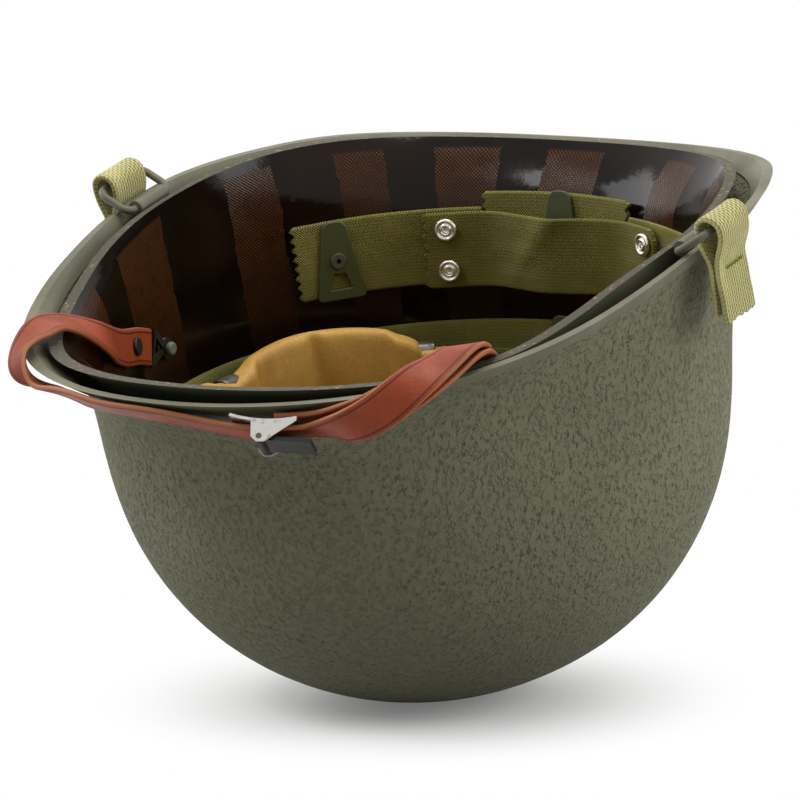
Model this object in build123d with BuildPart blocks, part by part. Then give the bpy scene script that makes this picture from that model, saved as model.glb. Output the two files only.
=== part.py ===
from build123d import *
from dataclasses import dataclass
import math
import os
import numpy as np

# A two-piece steel pot helmet, lying on its crown with the visor towards -Y and the
# wearer's right side towards +X. Every piece is built square to the helmet, crown at the
# origin and opening up. At the end all of them lean together onto the crown's rest point.
# Lengths are millimetres, angles degrees. Angles round the bowl count from the visor,
# positive towards +X.

os.makedirs("parts", exist_ok=True)

# Attitude on the crown
rest_tilt = 9.8
crown_flat_depth = 0.4

# Steel pot
steel = 1.1
pot_depth = 110.0
pot_half_width = 108.8
pot_front = 123.8
pot_rear = 97.8
pot_rim_height = 171.6
pot_rim_half_width = 121.0
pot_rim_front = 152.6
pot_rim_rear = 130.6
pot_flare_side = 15.0
pot_flare_front = 32.0
pot_flare_rear = 28.0
pot_lean = 0.164
pot_rim_height_shares = (0.943, 0.986, 1.0, 0.994, 0.953, 0.912, 0.892, 0.889)
rim_station_shares = (-1.0, -0.72, -0.4, -0.08, 0.24, 0.52, 0.78, 1.0)
rim_roundness = 2.13
flank_blend = 25.0

# Folded band over the raw edge of the pot
band_stock = 0.5
band_depth = 4.5
band_inner_depth = 3.0

# Fibre liner, set in the pot on its crown
liner_wall = 2.5
crown_seat = 0.3
liner_side_gap = 2.4
liner_front_gap = 2.7
liner_rear_gap = 1.9
liner_rim_rise = 1.7
liner_rim_side_step = 10.4
liner_rim_front_step = 4.4
liner_rim_rear_step = 13.0
liner_lean = 0.09
liner_rim_height_shares = (0.953, 0.989, 1.0, 0.983, 0.949, 0.893, 0.886, 0.907)

# Bails, their welded lugs and the webbing ends on them
wire = 2.8
bail_width = 25.5
bail_reach = 14.0
bail_corner = 4.0
bail_rest_angle = 30.0
bail_station = 2.4
bail_inset = 6.0
bail_sink = 0.1
bail_slope = 5.0
lug_length = 16.5
lug_stock = 1.4
lug_foot = 13.0
pin_clearance = 0.06
webbing = 2.0
webbing_width = 19.0
webbing_drop = 34.0
webbing_roll = 5.6
webbing_split = 1.0

# Cotton suspension inside the liner
tape = 1.6
tape_gap = 0.3
suspension_width = 25.0
suspension_height = 92.0
nape_width = 28.0
nape_tab_angle = -141.0
nape_tab_length = 66.0
nape_centre_length = 68.0
nape_centre_rise = 6.5
pinking = 8

# A-shaped washers and tubular rivets
washer = 1.2
washer_height = 29.0
washer_foot = 18.5
washer_apex_radius = 3.4
washer_leg = 3.8
washer_hole_share = 0.5
rivet_radius = 1.6
rivet_head_radius = 3.0
rivet_head = 0.8
rivet_bore = 0.9
rivet_clearance = 0.1
rivet_seat = 0.3
washer_gap = 0.5
suspension_angles = (0, 60, 120, 180, -120, -60)
nape_side_angle = 131.0

# Crown straps and their lace
crown_strap_width = 19.0
crown_ring_radius = 22.5
crown_ring_height = 40.0
lace_radius = 1.4
lace_slack = 0.4
crown_strap_top = 101.0
crown_strap_turn = 62.0
crown_strap_bends = 4
crown_strap_sag = 7.0
crown_strap_lean = 0.6

# Headband
headband_half_width = 86.0
headband_front = 101.0
headband_rear = 80.0
headband_width = 30.0
headband_top = 104.0
headband_pitch = 5.0
headband_tape = 1.5
leather = 1.2
leather_fold = 3.0
leather_end_angle = 150.0
clip_stock = 0.9
clip_width = 12.0
clip_drop = 9.0
clip_gap = 0.3
clip_angles = (30, 88, 145, -145, -88, -30)
headband_buckle_width = 24.0
headband_buckle_wire = 2.2
headband_buckle_stock = 1.4

# Nape band and its press-studs
nape_band_end_angle = 149.0
nape_band_height = 131.5
nape_band_bulge = 9.0
nape_flat_angle = 161.0
stud_radius = 4.2
stud_height = 1.6
stud_dimple = 1.6
stud_pitch = 15.0
stud_angle = 155.0
stud_base = 1.2
stud_base_radius = 3.4
stud_post_radius = 1.7
stud_gap = 0.2

# Leather chin strap
strap_width = 13.5
strap = 2.2
strap_gap = 0.7
layer_gap = 0.3
strap_stud_angle = 82.0
strap_stud_height = 120.8
strap_stud_neck = 1.5
strap_stud_head = 2.4
strap_stud_crown = 1.8
strap_stud_flange = 3.6
hook_stock = 1.2
hook_length = 11.0
hook_eye = 3.6
hook_rise = 19.0
hook_tilt = 8.5
stud_neck_reach = 2.6
button_radius = 3.3
button_height = 1.1
button_station = 13.5
inner_run_shares = ((76, 2.87, 0.0), (72, 2.46, 0.0), (65, 1.85, 0.0), (58, 1.19, 0.0), (53, 0.67, 0.11))
left_turn_shares = (
    (45.5, -0.62, 0.34, 108),
    (42, -0.26, 0.34, 88),
    (39, 0.08, 0.26, 55),
    (35.5, 0.34, 0.01, 15),
)
left_outer_shares = ((30, 0.32, 0.16), (22, 0.36, 0.08), (12, 0.38, 0.04), (2, 0.4, 0.04))
right_outer_shares = ((8, 0.44, 0.0), (18, 0.48, 0.09), (25, 0.46, 0.1))
right_turn_shares = (
    (32, 0.3, -0.36, -12),
    (37, 0.32, -0.11, 20),
    (42, 0.17, 0.19, 55),
    (45.5, -0.2, 0.34, 85),
    (48.5, -0.6, 0.4, 108),
)
doubled_shares = (0.0, 0.08, 0.16, 0.24, 0.32, 0.4, 0.48, 0.55)

# Sliding cam buckle
buckle_stock = 0.9
buckle_gap = 1.1
buckle_length = 15.0
buckle_bow = 43.0
ear_height = 6.0
buckle_pin_radius = 1.0
lever_hub = 1.8
lever_length = 17.0
lever_stock = 1.4
lever_lift = 6.0
tail_length = 7.0

overrun = 6.0
round_stations = 32


def natural_spline(stations, heights):
    """The natural cubic through the given points, straight beyond its ends."""
    x = np.array(stations, float)
    y = np.array(heights, float)
    step = np.diff(x)
    rise = np.diff(y) / step
    grid = np.eye(len(x))
    load = np.zeros(len(x))
    for i in range(1, len(x) - 1):
        grid[i, i - 1] = step[i - 1]
        grid[i, i] = 2 * (step[i - 1] + step[i])
        grid[i, i + 1] = step[i]
        load[i] = 6 * (rise[i] - rise[i - 1])
    bend = np.linalg.solve(grid, load)

    def height(at):
        inside = min(max(at, x[0]), x[-1])
        i = min(max(int(np.searchsorted(x, inside)) - 1, 0), len(x) - 2)
        left = inside - x[i]
        right = x[i + 1] - inside
        cubic = (bend[i] * right**3 + bend[i + 1] * left**3) / (6 * step[i])
        line_left = (y[i] / step[i] - bend[i] * step[i] / 6) * right
        line_right = (y[i + 1] / step[i] - bend[i + 1] * step[i] / 6) * left
        slope = rise[0] - step[0] * bend[1] / 6 if at < x[0] else rise[-1] + step[-1] * bend[-2] / 6
        return cubic + line_left + line_right + slope * (at - inside)

    return height


@dataclass
class Bowl:
    """One skin of a helmet shell: an elliptic dome, leaning flanks and a flared rim."""

    crown: float
    depth: float
    half_width: float
    front: float
    rear: float
    lean: float
    rim_half_width: float
    rim_front: float
    rim_rear: float
    rim_height: float
    rim_height_shares: tuple
    flare_side: float
    flare_front: float
    flare_rear: float

    def __post_init__(self):
        stations = [s * (self.rim_front if s > 0 else self.rim_rear) for s in rim_station_shares]
        heights = [s * self.rim_height for s in self.rim_height_shares]
        self.rim_line = natural_spline(stations, heights)

    def dome(self, angle, z, grow=0.0):
        """Point of the plain dome at a height, offset outwards by grow."""
        c = math.cos(math.radians(angle))
        s = math.sin(math.radians(angle))
        rise = (self.depth - z) / (self.depth - self.crown + grow)
        ring = math.sqrt(max(0.0, 1 - rise * rise)) if rise > 0 else 1.0
        over = z - self.depth
        if over <= -flank_blend:
            lean = 0.0
        elif over < flank_blend:
            lean = self.lean * (over + flank_blend) ** 2 / (4 * flank_blend)
        else:
            lean = self.lean * over
        reach = self.front if c > 0 else self.rear
        return np.array([s * ((self.half_width + grow) * ring + lean), -c * ((reach + grow) * ring + lean)])

    def rim(self, angle):
        """Point of the rim outline, seen from above."""
        c = math.cos(math.radians(angle))
        s = math.sin(math.radians(angle))
        reach = self.rim_front if c > 0 else self.rim_rear
        power = 2 / rim_roundness
        return np.array(
            [
                math.copysign(self.rim_half_width * abs(s) ** power, s),
                math.copysign(reach * abs(c) ** power, -c),
            ]
        )

    def rim_z(self, angle):
        return self.rim_line(-self.rim(angle)[1])

    def point(self, angle, z, grow=0.0):
        """Point of the whole skin at a height, offset outwards by grow."""
        c = math.cos(math.radians(angle))
        ends = self.flare_front if c > 0 else self.flare_rear
        flare = self.flare_side + (ends - self.flare_side) * c * c
        edge = self.rim_z(angle)
        near = 1 - (edge - z) / flare
        spread = 0.0
        slope = 0.0
        if near > 1:
            spread = 2 * near - 1
            slope = 2 / flare
        elif near > 0:
            spread = near * near
            slope = 2 * near / flare
        outwards = self.rim(angle) - self.dome(angle, edge)
        base = self.dome(angle, z, grow)
        across = base / np.linalg.norm(base)
        slant = math.sqrt(1 + (slope * np.linalg.norm(outwards)) ** 2) - 1
        flat = base + spread * outwards + grow * slant * across
        return np.array([flat[0], flat[1], z])

    def frame(self, angle, z, inset=0.0):
        """Plane on the skin: x round the bowl, y up to the rim, z into the bowl."""
        spot = self.point(angle, z, -inset)
        step = 0.5
        round_way = self.point(angle + step, z, -inset) - self.point(angle - step, z, -inset)
        rise = overrun / 10
        up_way = self.point(angle, z + rise, -inset) - self.point(angle, z - rise, -inset)
        normal = np.cross(round_way, up_way)
        if normal[0] * spot[0] + normal[1] * spot[1] > 0:
            normal = -normal
        return Plane(origin=Vector(*spot), x_dir=Vector(*round_way), z_dir=Vector(*normal))


pot = Bowl(
    crown=0.0,
    depth=pot_depth,
    half_width=pot_half_width,
    front=pot_front,
    rear=pot_rear,
    lean=pot_lean,
    rim_half_width=pot_rim_half_width,
    rim_front=pot_rim_front,
    rim_rear=pot_rim_rear,
    rim_height=pot_rim_height,
    rim_height_shares=pot_rim_height_shares,
    flare_side=pot_flare_side,
    flare_front=pot_flare_front,
    flare_rear=pot_flare_rear,
)

liner = Bowl(
    crown=steel + crown_seat,
    depth=pot_depth,
    half_width=pot_half_width - steel - liner_side_gap,
    front=pot_front - steel - liner_front_gap,
    rear=pot_rear - steel - liner_rear_gap,
    lean=liner_lean,
    rim_half_width=pot_rim_half_width - liner_rim_side_step,
    rim_front=pot_rim_front - liner_rim_front_step,
    rim_rear=pot_rim_rear - liner_rim_rear_step,
    rim_height=pot_rim_height + liner_rim_rise,
    rim_height_shares=liner_rim_height_shares,
    flare_side=pot_flare_side,
    flare_front=pot_flare_front,
    flare_rear=pot_flare_rear,
)


def skin(bowl, grow=0.0, low=None, high=None):
    """Everything inside one skin, from its crown or low to past its rim or high."""
    tall = bowl.depth - bowl.crown + grow
    dome_angles = (2, 14, 28, 42, 56, 70, 80)
    heights = [bowl.depth - tall * math.cos(math.radians(a)) for a in dome_angles]
    top = bowl.rim_height + overrun
    steps = 9
    heights += [bowl.depth + (top - bowl.depth) * i / steps for i in range(steps + 1)]
    if low is not None:
        heights = [low] + [h for h in heights if low + overrun < h < high - overrun] + [high]
    with BuildPart() as inside:
        for z in heights:
            spots = []
            for i in range(round_stations):
                spot = bowl.point(360 * i / round_stations, z, grow)
                spots.append((spot[0], spot[1]))
            with BuildSketch(Plane.XY.offset(z)):
                with BuildLine():
                    Spline(*spots, periodic=True)
                make_face()
        loft()
    return inside.part


def above_rim(bowl, lift=0.0):
    """Everything above the rim edge, moved up by lift."""
    ahead = bowl.rim_front + 8 * overrun
    behind = bowl.rim_rear + 8 * overrun
    across = 2 * (bowl.rim_half_width + 8 * overrun)
    top = bowl.rim_height + 4 * overrun
    count = 16
    line = []
    for i in range(count + 1):
        y = -ahead + (ahead + behind) * i / count
        line.append((y, bowl.rim_line(-y) + lift))
    with BuildPart() as space:
        with BuildSketch(Plane.YZ.offset(-across / 2)):
            with BuildLine():
                Spline(*line)
                Polyline(line[-1], (behind, top), (-ahead, top), line[0])
            make_face()
        extrude(amount=across)
    return space.part


# The pot and the band folded over its edge
pot_outside = skin(pot)
pot_inside = skin(pot, -steel)
pot_opening = above_rim(pot)
# Crown rest point: where the leaning dome meets the floor, on a small worn flat
lean = math.radians(rest_tilt)
dome_reach = math.hypot(pot_front * math.sin(lean), pot_depth * math.cos(lean))
rest_y = -(pot_front**2) * math.sin(lean) / dome_reach
rest_z = pot_depth - pot_depth**2 * math.cos(lean) / dome_reach
rest_spot = Location((0, 0, 0), (rest_tilt, 0, 0)) * Location((0, rest_y, rest_z))
rest_lift = Location(-rest_spot.position - Vector(0, 0, crown_flat_depth))
rest_place = rest_lift * Location((0, 0, 0), (rest_tilt, 0, 0))
crown_flat = Plane(Location((0, rest_y, rest_z), (-rest_tilt, 0, 0))).offset(crown_flat_depth)

with BuildPart() as steel_shell:
    add(pot_outside)
    add(pot_inside, mode=Mode.SUBTRACT)
    add(pot_opening, mode=Mode.SUBTRACT)
    with BuildSketch(crown_flat):
        Circle(pot_half_width / 2)
    extrude(amount=-overrun, mode=Mode.SUBTRACT)

with BuildPart() as rim_band:
    add(skin(pot, band_stock))
    add(skin(pot, -steel - band_stock), mode=Mode.SUBTRACT)
    add(above_rim(pot, band_stock), mode=Mode.SUBTRACT)
    add(above_rim(pot, -band_depth), mode=Mode.INTERSECT)
    add(steel_shell.part, mode=Mode.SUBTRACT)

# The liner shell with its rivet bores
wall_face = liner_wall + tape_gap
crown_strap_stand = tape_gap + crown_strap_width**2 / (8 * pot_rear)
washer_inset = wall_face + tape + washer_gap
suspension_inset = washer_inset + crown_strap_stand + tape + washer_gap
nape_rivet_height = nape_band_height
nape_centre_height = nape_band_height + nape_centre_rise
suspension_places = [liner.frame(a, suspension_height) for a in suspension_angles]
nape_places = [
    liner.frame(-nape_side_angle, nape_rivet_height),
    liner.frame(180, nape_centre_height),
    liner.frame(nape_side_angle, nape_rivet_height),
]
rivet_places = suspension_places + nape_places


def bores(places, radius):
    """Round pins through the wall at each place, to cut with."""
    with BuildPart() as pins:
        for place in places:
            with BuildSketch(place):
                Circle(radius)
            extrude(amount=suspension_inset + overrun, both=True)
    return pins.part


rivet_bores = bores(rivet_places, rivet_radius + rivet_clearance)
stud_spot = liner.point(strap_stud_angle, strap_stud_height, -liner_wall)
stud_planes = []
for side in (1, -1):
    origin = Vector(side * stud_spot[0], stud_spot[1], stud_spot[2])
    stud_planes.append(Plane(origin=origin, x_dir=Vector(0, -1, 0), z_dir=Vector(-side, 0, 0)))
stud_bores = bores(stud_planes, rivet_radius + rivet_clearance)

with BuildPart() as liner_shell:
    add(skin(liner))
    add(skin(liner, -liner_wall), mode=Mode.SUBTRACT)
    add(above_rim(liner), mode=Mode.SUBTRACT)
    add(rivet_bores, mode=Mode.SUBTRACT)
    add(stud_bores, mode=Mode.SUBTRACT)


def mirrored(piece):
    """The same piece on the other side of the helmet."""
    return mirror(piece, about=Plane.YZ, mode=Mode.PRIVATE)


# Swivel bail of the right side: welded lug, wire loop and doubled webbing end
bail_x = pot_rim_half_width - bail_inset
bail_z = pot.rim_line(-bail_station) - bail_sink
bail_place = Location((bail_x, bail_station, bail_z), (bail_slope, 0, 0))
lug_bore = wire / 2 + pin_clearance
lug_radius = lug_bore + lug_stock

with BuildPart() as lug_blank:
    with BuildSketch(Plane.XZ):
        Circle(lug_radius)
        with Locations((lug_bore, -lug_foot)):
            Rectangle(lug_stock, lug_foot, align=(Align.MIN, Align.MIN))
            Rectangle(bail_inset, lug_foot - band_depth - lug_stock, align=(Align.MIN, Align.MIN))
        Circle(lug_bore, mode=Mode.SUBTRACT)
    extrude(amount=lug_length / 2, both=True)

with BuildPart() as lug_right:
    add(lug_blank.part.moved(bail_place))
    add(pot_inside, mode=Mode.INTERSECT)
    add(rim_band.part, mode=Mode.SUBTRACT)

with BuildPart() as bail_blank:
    with BuildLine() as bail_path:
        half = bail_width / 2
        FilletPolyline(
            (0, 0), (0, half), (bail_reach, half), (bail_reach, -half), (0, -half), (0, -wire),
            radius=bail_corner,
        )
        Line((0, -wire), (0, 0))
    with BuildSketch(Plane(origin=bail_path.line @ 0, z_dir=bail_path.line % 0)):
        Circle(wire / 2)
    sweep()

with BuildPart() as bail_right:
    add(bail_blank.part.moved(bail_place * Location((0, 0, 0), (0, -bail_rest_angle, 0))))

neck = 2 * webbing_roll
neck_slant = math.atan((webbing_roll - webbing) / neck)
bar_x = bail_reach * math.cos(math.radians(bail_rest_angle))
bar_z = bail_reach * math.sin(math.radians(bail_rest_angle))

# Rolled round the bar, sewn below it, then two layers hanging a little apart
with BuildPart() as webbing_blank:
    with BuildSketch(Plane.XZ):
        roll_x = webbing_roll * math.cos(neck_slant)
        roll_y = -webbing_roll * math.sin(neck_slant)
        Circle(webbing_roll)
        Polygon((-roll_x, roll_y), (roll_x, roll_y), (webbing, -neck), (-webbing, -neck), align=None)
        Polygon((-webbing, -neck), (webbing, -neck), (webbing, -webbing_drop), (-webbing, -webbing_drop), align=None)
        Polygon((0, -1.5 * neck), (webbing_split, -webbing_drop), (-webbing_split, -webbing_drop), align=None, mode=Mode.SUBTRACT)
        Circle(wire / 2 + layer_gap, mode=Mode.SUBTRACT)
    extrude(amount=webbing_width / 2, both=True)

with BuildPart() as webbing_end_right:
    add(webbing_blank.part.moved(bail_place * Location((bar_x, 0, bar_z))))

with BuildPart() as lug_left:
    add(mirrored(lug_right.part))
with BuildPart() as bail_left:
    add(mirrored(bail_right.part))
with BuildPart() as webbing_end_left:
    add(mirrored(webbing_end_right.part))

# Suspension band, lying round the liner wall and bored for its rivets
band_low = suspension_height - suspension_width / 2
band_high = suspension_height + suspension_width / 2
with BuildPart() as suspension_band:
    add(skin(liner, -wall_face, band_low, band_high))
    add(skin(liner, -wall_face - tape, band_low, band_high), mode=Mode.SUBTRACT)
    add(rivet_bores, mode=Mode.SUBTRACT)

# Tabs that carry the nape band, with pinked ends
nape_low = nape_band_height - nape_width / 2
nape_high = nape_band_height + nape_width / 2 + nape_centre_rise
with BuildPart() as nape_layer:
    add(skin(liner, -wall_face, nape_low, nape_high))
    add(skin(liner, -wall_face - tape, nape_low, nape_high), mode=Mode.SUBTRACT)
    add(rivet_bores, mode=Mode.SUBTRACT)


def tab_block(place, length, width):
    """Block through the wall at a place, pinked on its end towards x."""
    pitch = width / pinking
    edge = []
    for i in range(pinking):
        edge.append((length / 2, -width / 2 + i * pitch))
        edge.append((length / 2 - pitch / 2, -width / 2 + (i + 0.5) * pitch))
    edge.append((length / 2, width / 2))
    with BuildPart() as block:
        with BuildSketch(place):
            with BuildLine():
                Polyline(*edge, (-length / 2, width / 2), (-length / 2, -width / 2), close=True)
            make_face()
        extrude(amount=length / 2, both=True)
    return block.part


with BuildPart() as nape_tab_left:
    add(nape_layer.part)
    tab_place = liner.frame(nape_tab_angle, nape_band_height)
    add(tab_block(tab_place, nape_tab_length, nape_width), mode=Mode.INTERSECT)
with BuildPart() as nape_tab_right:
    add(mirrored(nape_tab_left.part))
with BuildPart() as nape_tab_centre:
    add(nape_layer.part)
    add(tab_block(liner.frame(180, nape_centre_height), nape_centre_length, nape_width), mode=Mode.INTERSECT)

# A-shaped washers, one blank set on every place
hole_rise = washer_height * washer_hole_share
apex_y = hole_rise - washer_apex_radius
foot_y = hole_rise - washer_height
side_slant = math.atan((washer_foot / 2 - washer_apex_radius) / (apex_y - foot_y))
with BuildPart() as washer_blank:
    with BuildSketch():
        shoulder_x = washer_apex_radius * math.cos(side_slant)
        shoulder_y = apex_y + washer_apex_radius * math.sin(side_slant)
        foot_x = washer_foot / 2
        Polygon(
            (-foot_x, foot_y), (foot_x, foot_y), (shoulder_x, shoulder_y), (-shoulder_x, shoulder_y), align=None
        )
        with Locations((0, apex_y)):
            Circle(washer_apex_radius)
        window_x = foot_x - washer_leg
        window_y = foot_y + washer_leg
        window_top = -rivet_head_radius - washer_leg / 4
        window_narrow = window_x - (window_top - window_y) * math.tan(side_slant) - washer_leg / 3
        Polygon(
            (-window_x, window_y),
            (window_x, window_y),
            (window_narrow, window_top),
            (-window_narrow, window_top),
            align=None,
            mode=Mode.SUBTRACT,
        )
        Circle(rivet_radius + rivet_clearance, mode=Mode.SUBTRACT)
    extrude(amount=washer)

with BuildPart() as suspension_washers:
    for place in suspension_places:
        add(washer_blank.part.moved(place.location * Location((0, 0, suspension_inset))))
with BuildPart() as nape_washers:
    for place in nape_places:
        add(washer_blank.part.moved(place.location * Location((0, 0, washer_inset))))



def rivet(inset):
    """Tubular rivet: flat head outside, rolled head with its bore over a washer at inset."""
    inner = inset + washer + rivet_clearance
    with BuildPart() as blank:
        with BuildSketch(Plane.XY.offset(-rivet_head - rivet_seat)):
            Circle(rivet_head_radius)
        extrude(amount=rivet_head)
        with BuildSketch(Plane.XY.offset(-rivet_seat)):
            Circle(rivet_radius)
        extrude(amount=inner + rivet_seat)
        with BuildSketch(Plane.XY.offset(inner)):
            Circle(rivet_head_radius)
        extrude(amount=rivet_head)
        fillet(blank.edges().group_by(Axis.Z)[-1], rivet_head / 2)
        with BuildSketch(Plane.XY.offset(inner + rivet_head)):
            Circle(rivet_bore)
        extrude(amount=-inner, mode=Mode.SUBTRACT)
    return blank.part


suspension_rivet = rivet(suspension_inset)
nape_rivet = rivet(washer_inset)
with BuildPart() as washer_rivets:
    for place in suspension_places:
        add(suspension_rivet.moved(place.location))
    for place in nape_places:
        add(nape_rivet.moved(place.location))


def strip_place(stations, share):
    """Plane on the middle of a strip: x along it and z out of its face."""
    points = np.array([s[0] for s in stations])
    normals = np.array([s[1] for s in stations])
    run = np.concatenate([[0.0], np.cumsum(np.linalg.norm(np.diff(points, axis=0), axis=1))])
    way = [natural_spline(run, points[:, k]) for k in range(3)]
    face = [natural_spline(run, normals[:, k]) for k in range(3)]
    at = run[-1] * share
    near = run[-1] / 1000
    spot = np.array([f(at) for f in way])
    tangent = np.array([f(at + near) - f(at - near) for f in way])
    tangent = tangent / np.linalg.norm(tangent)
    normal = np.array([f(at) for f in face])
    normal = normal - np.dot(normal, tangent) * tangent
    return Plane(origin=Vector(*spot), x_dir=Vector(*tangent), z_dir=Vector(*normal))


def run_to(stations, index):
    """Length of a strip's run up to one of its stations."""
    return sum(np.linalg.norm(stations[i + 1][0] - stations[i][0]) for i in range(index))


def ribbon(stations, width, thickness, sections, ruled):
    """Flat strip through stations of point and face normal, smooth or in short straight lengths."""
    with BuildPart() as strip:
        for i in range(sections + 1):
            place = strip_place(stations, i / sections)
            with BuildSketch(Plane(origin=place.origin, x_dir=place.y_dir, z_dir=place.x_dir)):
                Rectangle(width, thickness)
        loft(ruled=ruled)
    return strip.part


def station(place, outwards=False):
    """Point and face normal of a plane, facing into the bowl or out of it."""
    sign = -1 if outwards else 1
    return np.array(tuple(place.origin)), sign * np.array(tuple(place.z_dir))


# Nape band, snapped onto the side tabs and standing off the wall between them
band_seat = wall_face + tape + stud_gap + stud_base + stud_gap + tape / 2
nape_stations = []
nape_angles = [nape_band_end_angle, stud_angle, nape_flat_angle, (nape_flat_angle + 180) / 2]
for angle in [*nape_angles, 180, *(360 - angle for angle in reversed(nape_angles))]:
    off = max(0.0, 1 - abs(angle - 180) / (180 - nape_flat_angle))
    inset = band_seat + nape_band_bulge * off * off * (3 - 2 * off)
    nape_stations.append(station(liner.frame(-angle, nape_band_height, inset)))
stud_places = []
for angle in (-stud_angle, stud_angle):
    band_place = liner.frame(angle, nape_band_height, band_seat)
    for side in (-1, 1):
        stud_places.append(Plane(band_place.location * Location((0, side * stud_pitch / 2, 0))))
with BuildPart() as nape_band:
    add(ribbon(nape_stations, nape_width, tape, 18, True))
    add(bores(stud_places, stud_post_radius + rivet_clearance), mode=Mode.SUBTRACT)

with BuildPart() as stud_blank:
    with BuildSketch(Plane.XY.offset(-tape / 2 - stud_gap / 2)):
        Circle(stud_post_radius)
    extrude(amount=tape + 3 * stud_gap / 2)
    with BuildSketch(Plane.XY.offset(tape / 2 + stud_gap)):
        Circle(stud_radius)
    extrude(amount=stud_height)
    fillet(stud_blank.edges().group_by(Axis.Z)[-1], stud_height / 2)
    with BuildSketch(Plane.XY.offset(tape / 2 + stud_gap + stud_height)):
        Circle(stud_dimple)
    extrude(amount=-stud_height / 2, mode=Mode.SUBTRACT)
with BuildPart() as base_blank:
    with BuildSketch(Plane.XY.offset(-tape / 2 - stud_gap - stud_base)):
        Circle(stud_base_radius)
    extrude(amount=stud_base)
with BuildPart() as press_studs:
    for place in stud_places:
        add(stud_blank.part.moved(place.location))
with BuildPart() as press_stud_bases:
    for place in stud_places:
        add(base_blank.part.moved(place.location))

# Crown straps: riveted on the band, down the wall, then slung inwards to the lace
lace_seat = lace_radius + lace_slack
crown_fingers = []
finger_angles = []
for angle in suspension_angles:
    inset = wall_face + tape + crown_strap_stand + tape / 2
    finger_stations = []
    for i in range(crown_strap_bends):
        z = crown_strap_top - i * (crown_strap_top - crown_strap_turn) / (crown_strap_bends - 1)
        finger_stations.append(station(liner.frame(angle, z, inset)))
    foot = finger_stations[-1][0]
    away = np.array([foot[0], foot[1], 0.0]) / math.hypot(foot[0], foot[1])
    finger_angles.append(math.degrees(math.atan2(away[0], -away[1])))
    up = np.array([0.0, 0.0, 1.0])
    ring = away * (crown_ring_radius + lace_seat + tape / 2) + up * (crown_ring_height + tape / 2)
    finger_stations.append(((foot + ring) / 2 - up * crown_strap_sag, up - away * crown_strap_lean))
    finger_stations.append((ring, up))
    side = Plane(origin=Vector(0, 0, 0), x_dir=Vector(*away), z_dir=Vector(away[1], -away[0], 0))
    with BuildPart() as finger:
        add(ribbon(finger_stations, crown_strap_width, tape, 12, False))
        with BuildSketch(side):
            with Locations((crown_ring_radius, crown_ring_height)):
                Circle(lace_seat + tape)
                Circle(lace_seat, mode=Mode.SUBTRACT)
        extrude(amount=crown_strap_width / 2, both=True)
        add(rivet_bores, mode=Mode.SUBTRACT)
    crown_fingers.append(finger.part)
with BuildPart() as crown_straps:
    for finger in crown_fingers:
        add(finger)

with BuildPart() as crown_lace:
    corners = []
    turns = sorted(finger_angles)
    for i in range(len(turns)):
        first = turns[i]
        second = turns[i + 1] if i + 1 < len(turns) else turns[0] + 360
        middle = math.radians((first + second) / 2)
        reach = crown_ring_radius / math.cos(math.radians((second - first) / 2))
        corners.append(Vector(reach * math.sin(middle), -reach * math.cos(middle), crown_ring_height))
    start = (corners[-1] + corners[0]) / 2
    finish = (corners[-1] + start) / 2
    with BuildLine() as lace_path:
        FilletPolyline(start, *corners, finish, radius=crown_ring_radius / 5)
        Line(finish, start)
    with BuildSketch(Plane(origin=start, z_dir=lace_path.line % 0)):
        Circle(lace_radius)
    sweep()


# Headband: a cotton band faced with leather, clipped to the suspension
def oval(grow):
    """Egg outline of the headband, wider to the visor, grown all round."""
    width = headband_half_width + grow
    with BuildLine() as outline:
        EllipticalCenterArc((0, 0), width, headband_front + grow, start_angle=180, arc_size=180)
        EllipticalCenterArc((0, 0), width, headband_rear + grow, start_angle=0, arc_size=180)
    make_face(outline.line.edges())


def oval_ring(outer, inner, low, high):
    """Upright ring between two egg outlines."""
    with BuildPart() as ring:
        with BuildSketch(Plane.XY.offset(low)):
            oval(outer)
        extrude(amount=high - low)
        with BuildSketch(Plane.XY.offset(low)):
            oval(inner)
        extrude(amount=high - low, mode=Mode.SUBTRACT)
    return ring.part


headband_lean = Location((0, 0, headband_top), (-headband_pitch, 0, 0))
with BuildPart() as headband:
    add(oval_ring(0, -headband_tape, -headband_width, 0).moved(headband_lean))

with BuildPart() as rear_wedge:
    reach = 2 * headband_front
    half_open = math.radians(180 - leather_end_angle)
    with BuildSketch(Plane.XY.offset(-2 * headband_width)):
        Polygon(
            (0, 0), (reach * math.sin(half_open), reach * math.cos(half_open)),
            (-reach * math.sin(half_open), reach * math.cos(half_open)), align=None,
        )
    extrude(amount=4 * headband_width)
with BuildPart() as headband_leather:
    facing = oval_ring(-headband_tape, -headband_tape - leather, -headband_width, leather)
    fold = oval_ring(leather, -headband_tape, -leather_fold, leather)
    add(facing.moved(headband_lean))
    add(fold.moved(headband_lean))
    add(headband.part, mode=Mode.SUBTRACT)
    add(rear_wedge.part.moved(headband_lean), mode=Mode.SUBTRACT)

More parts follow.
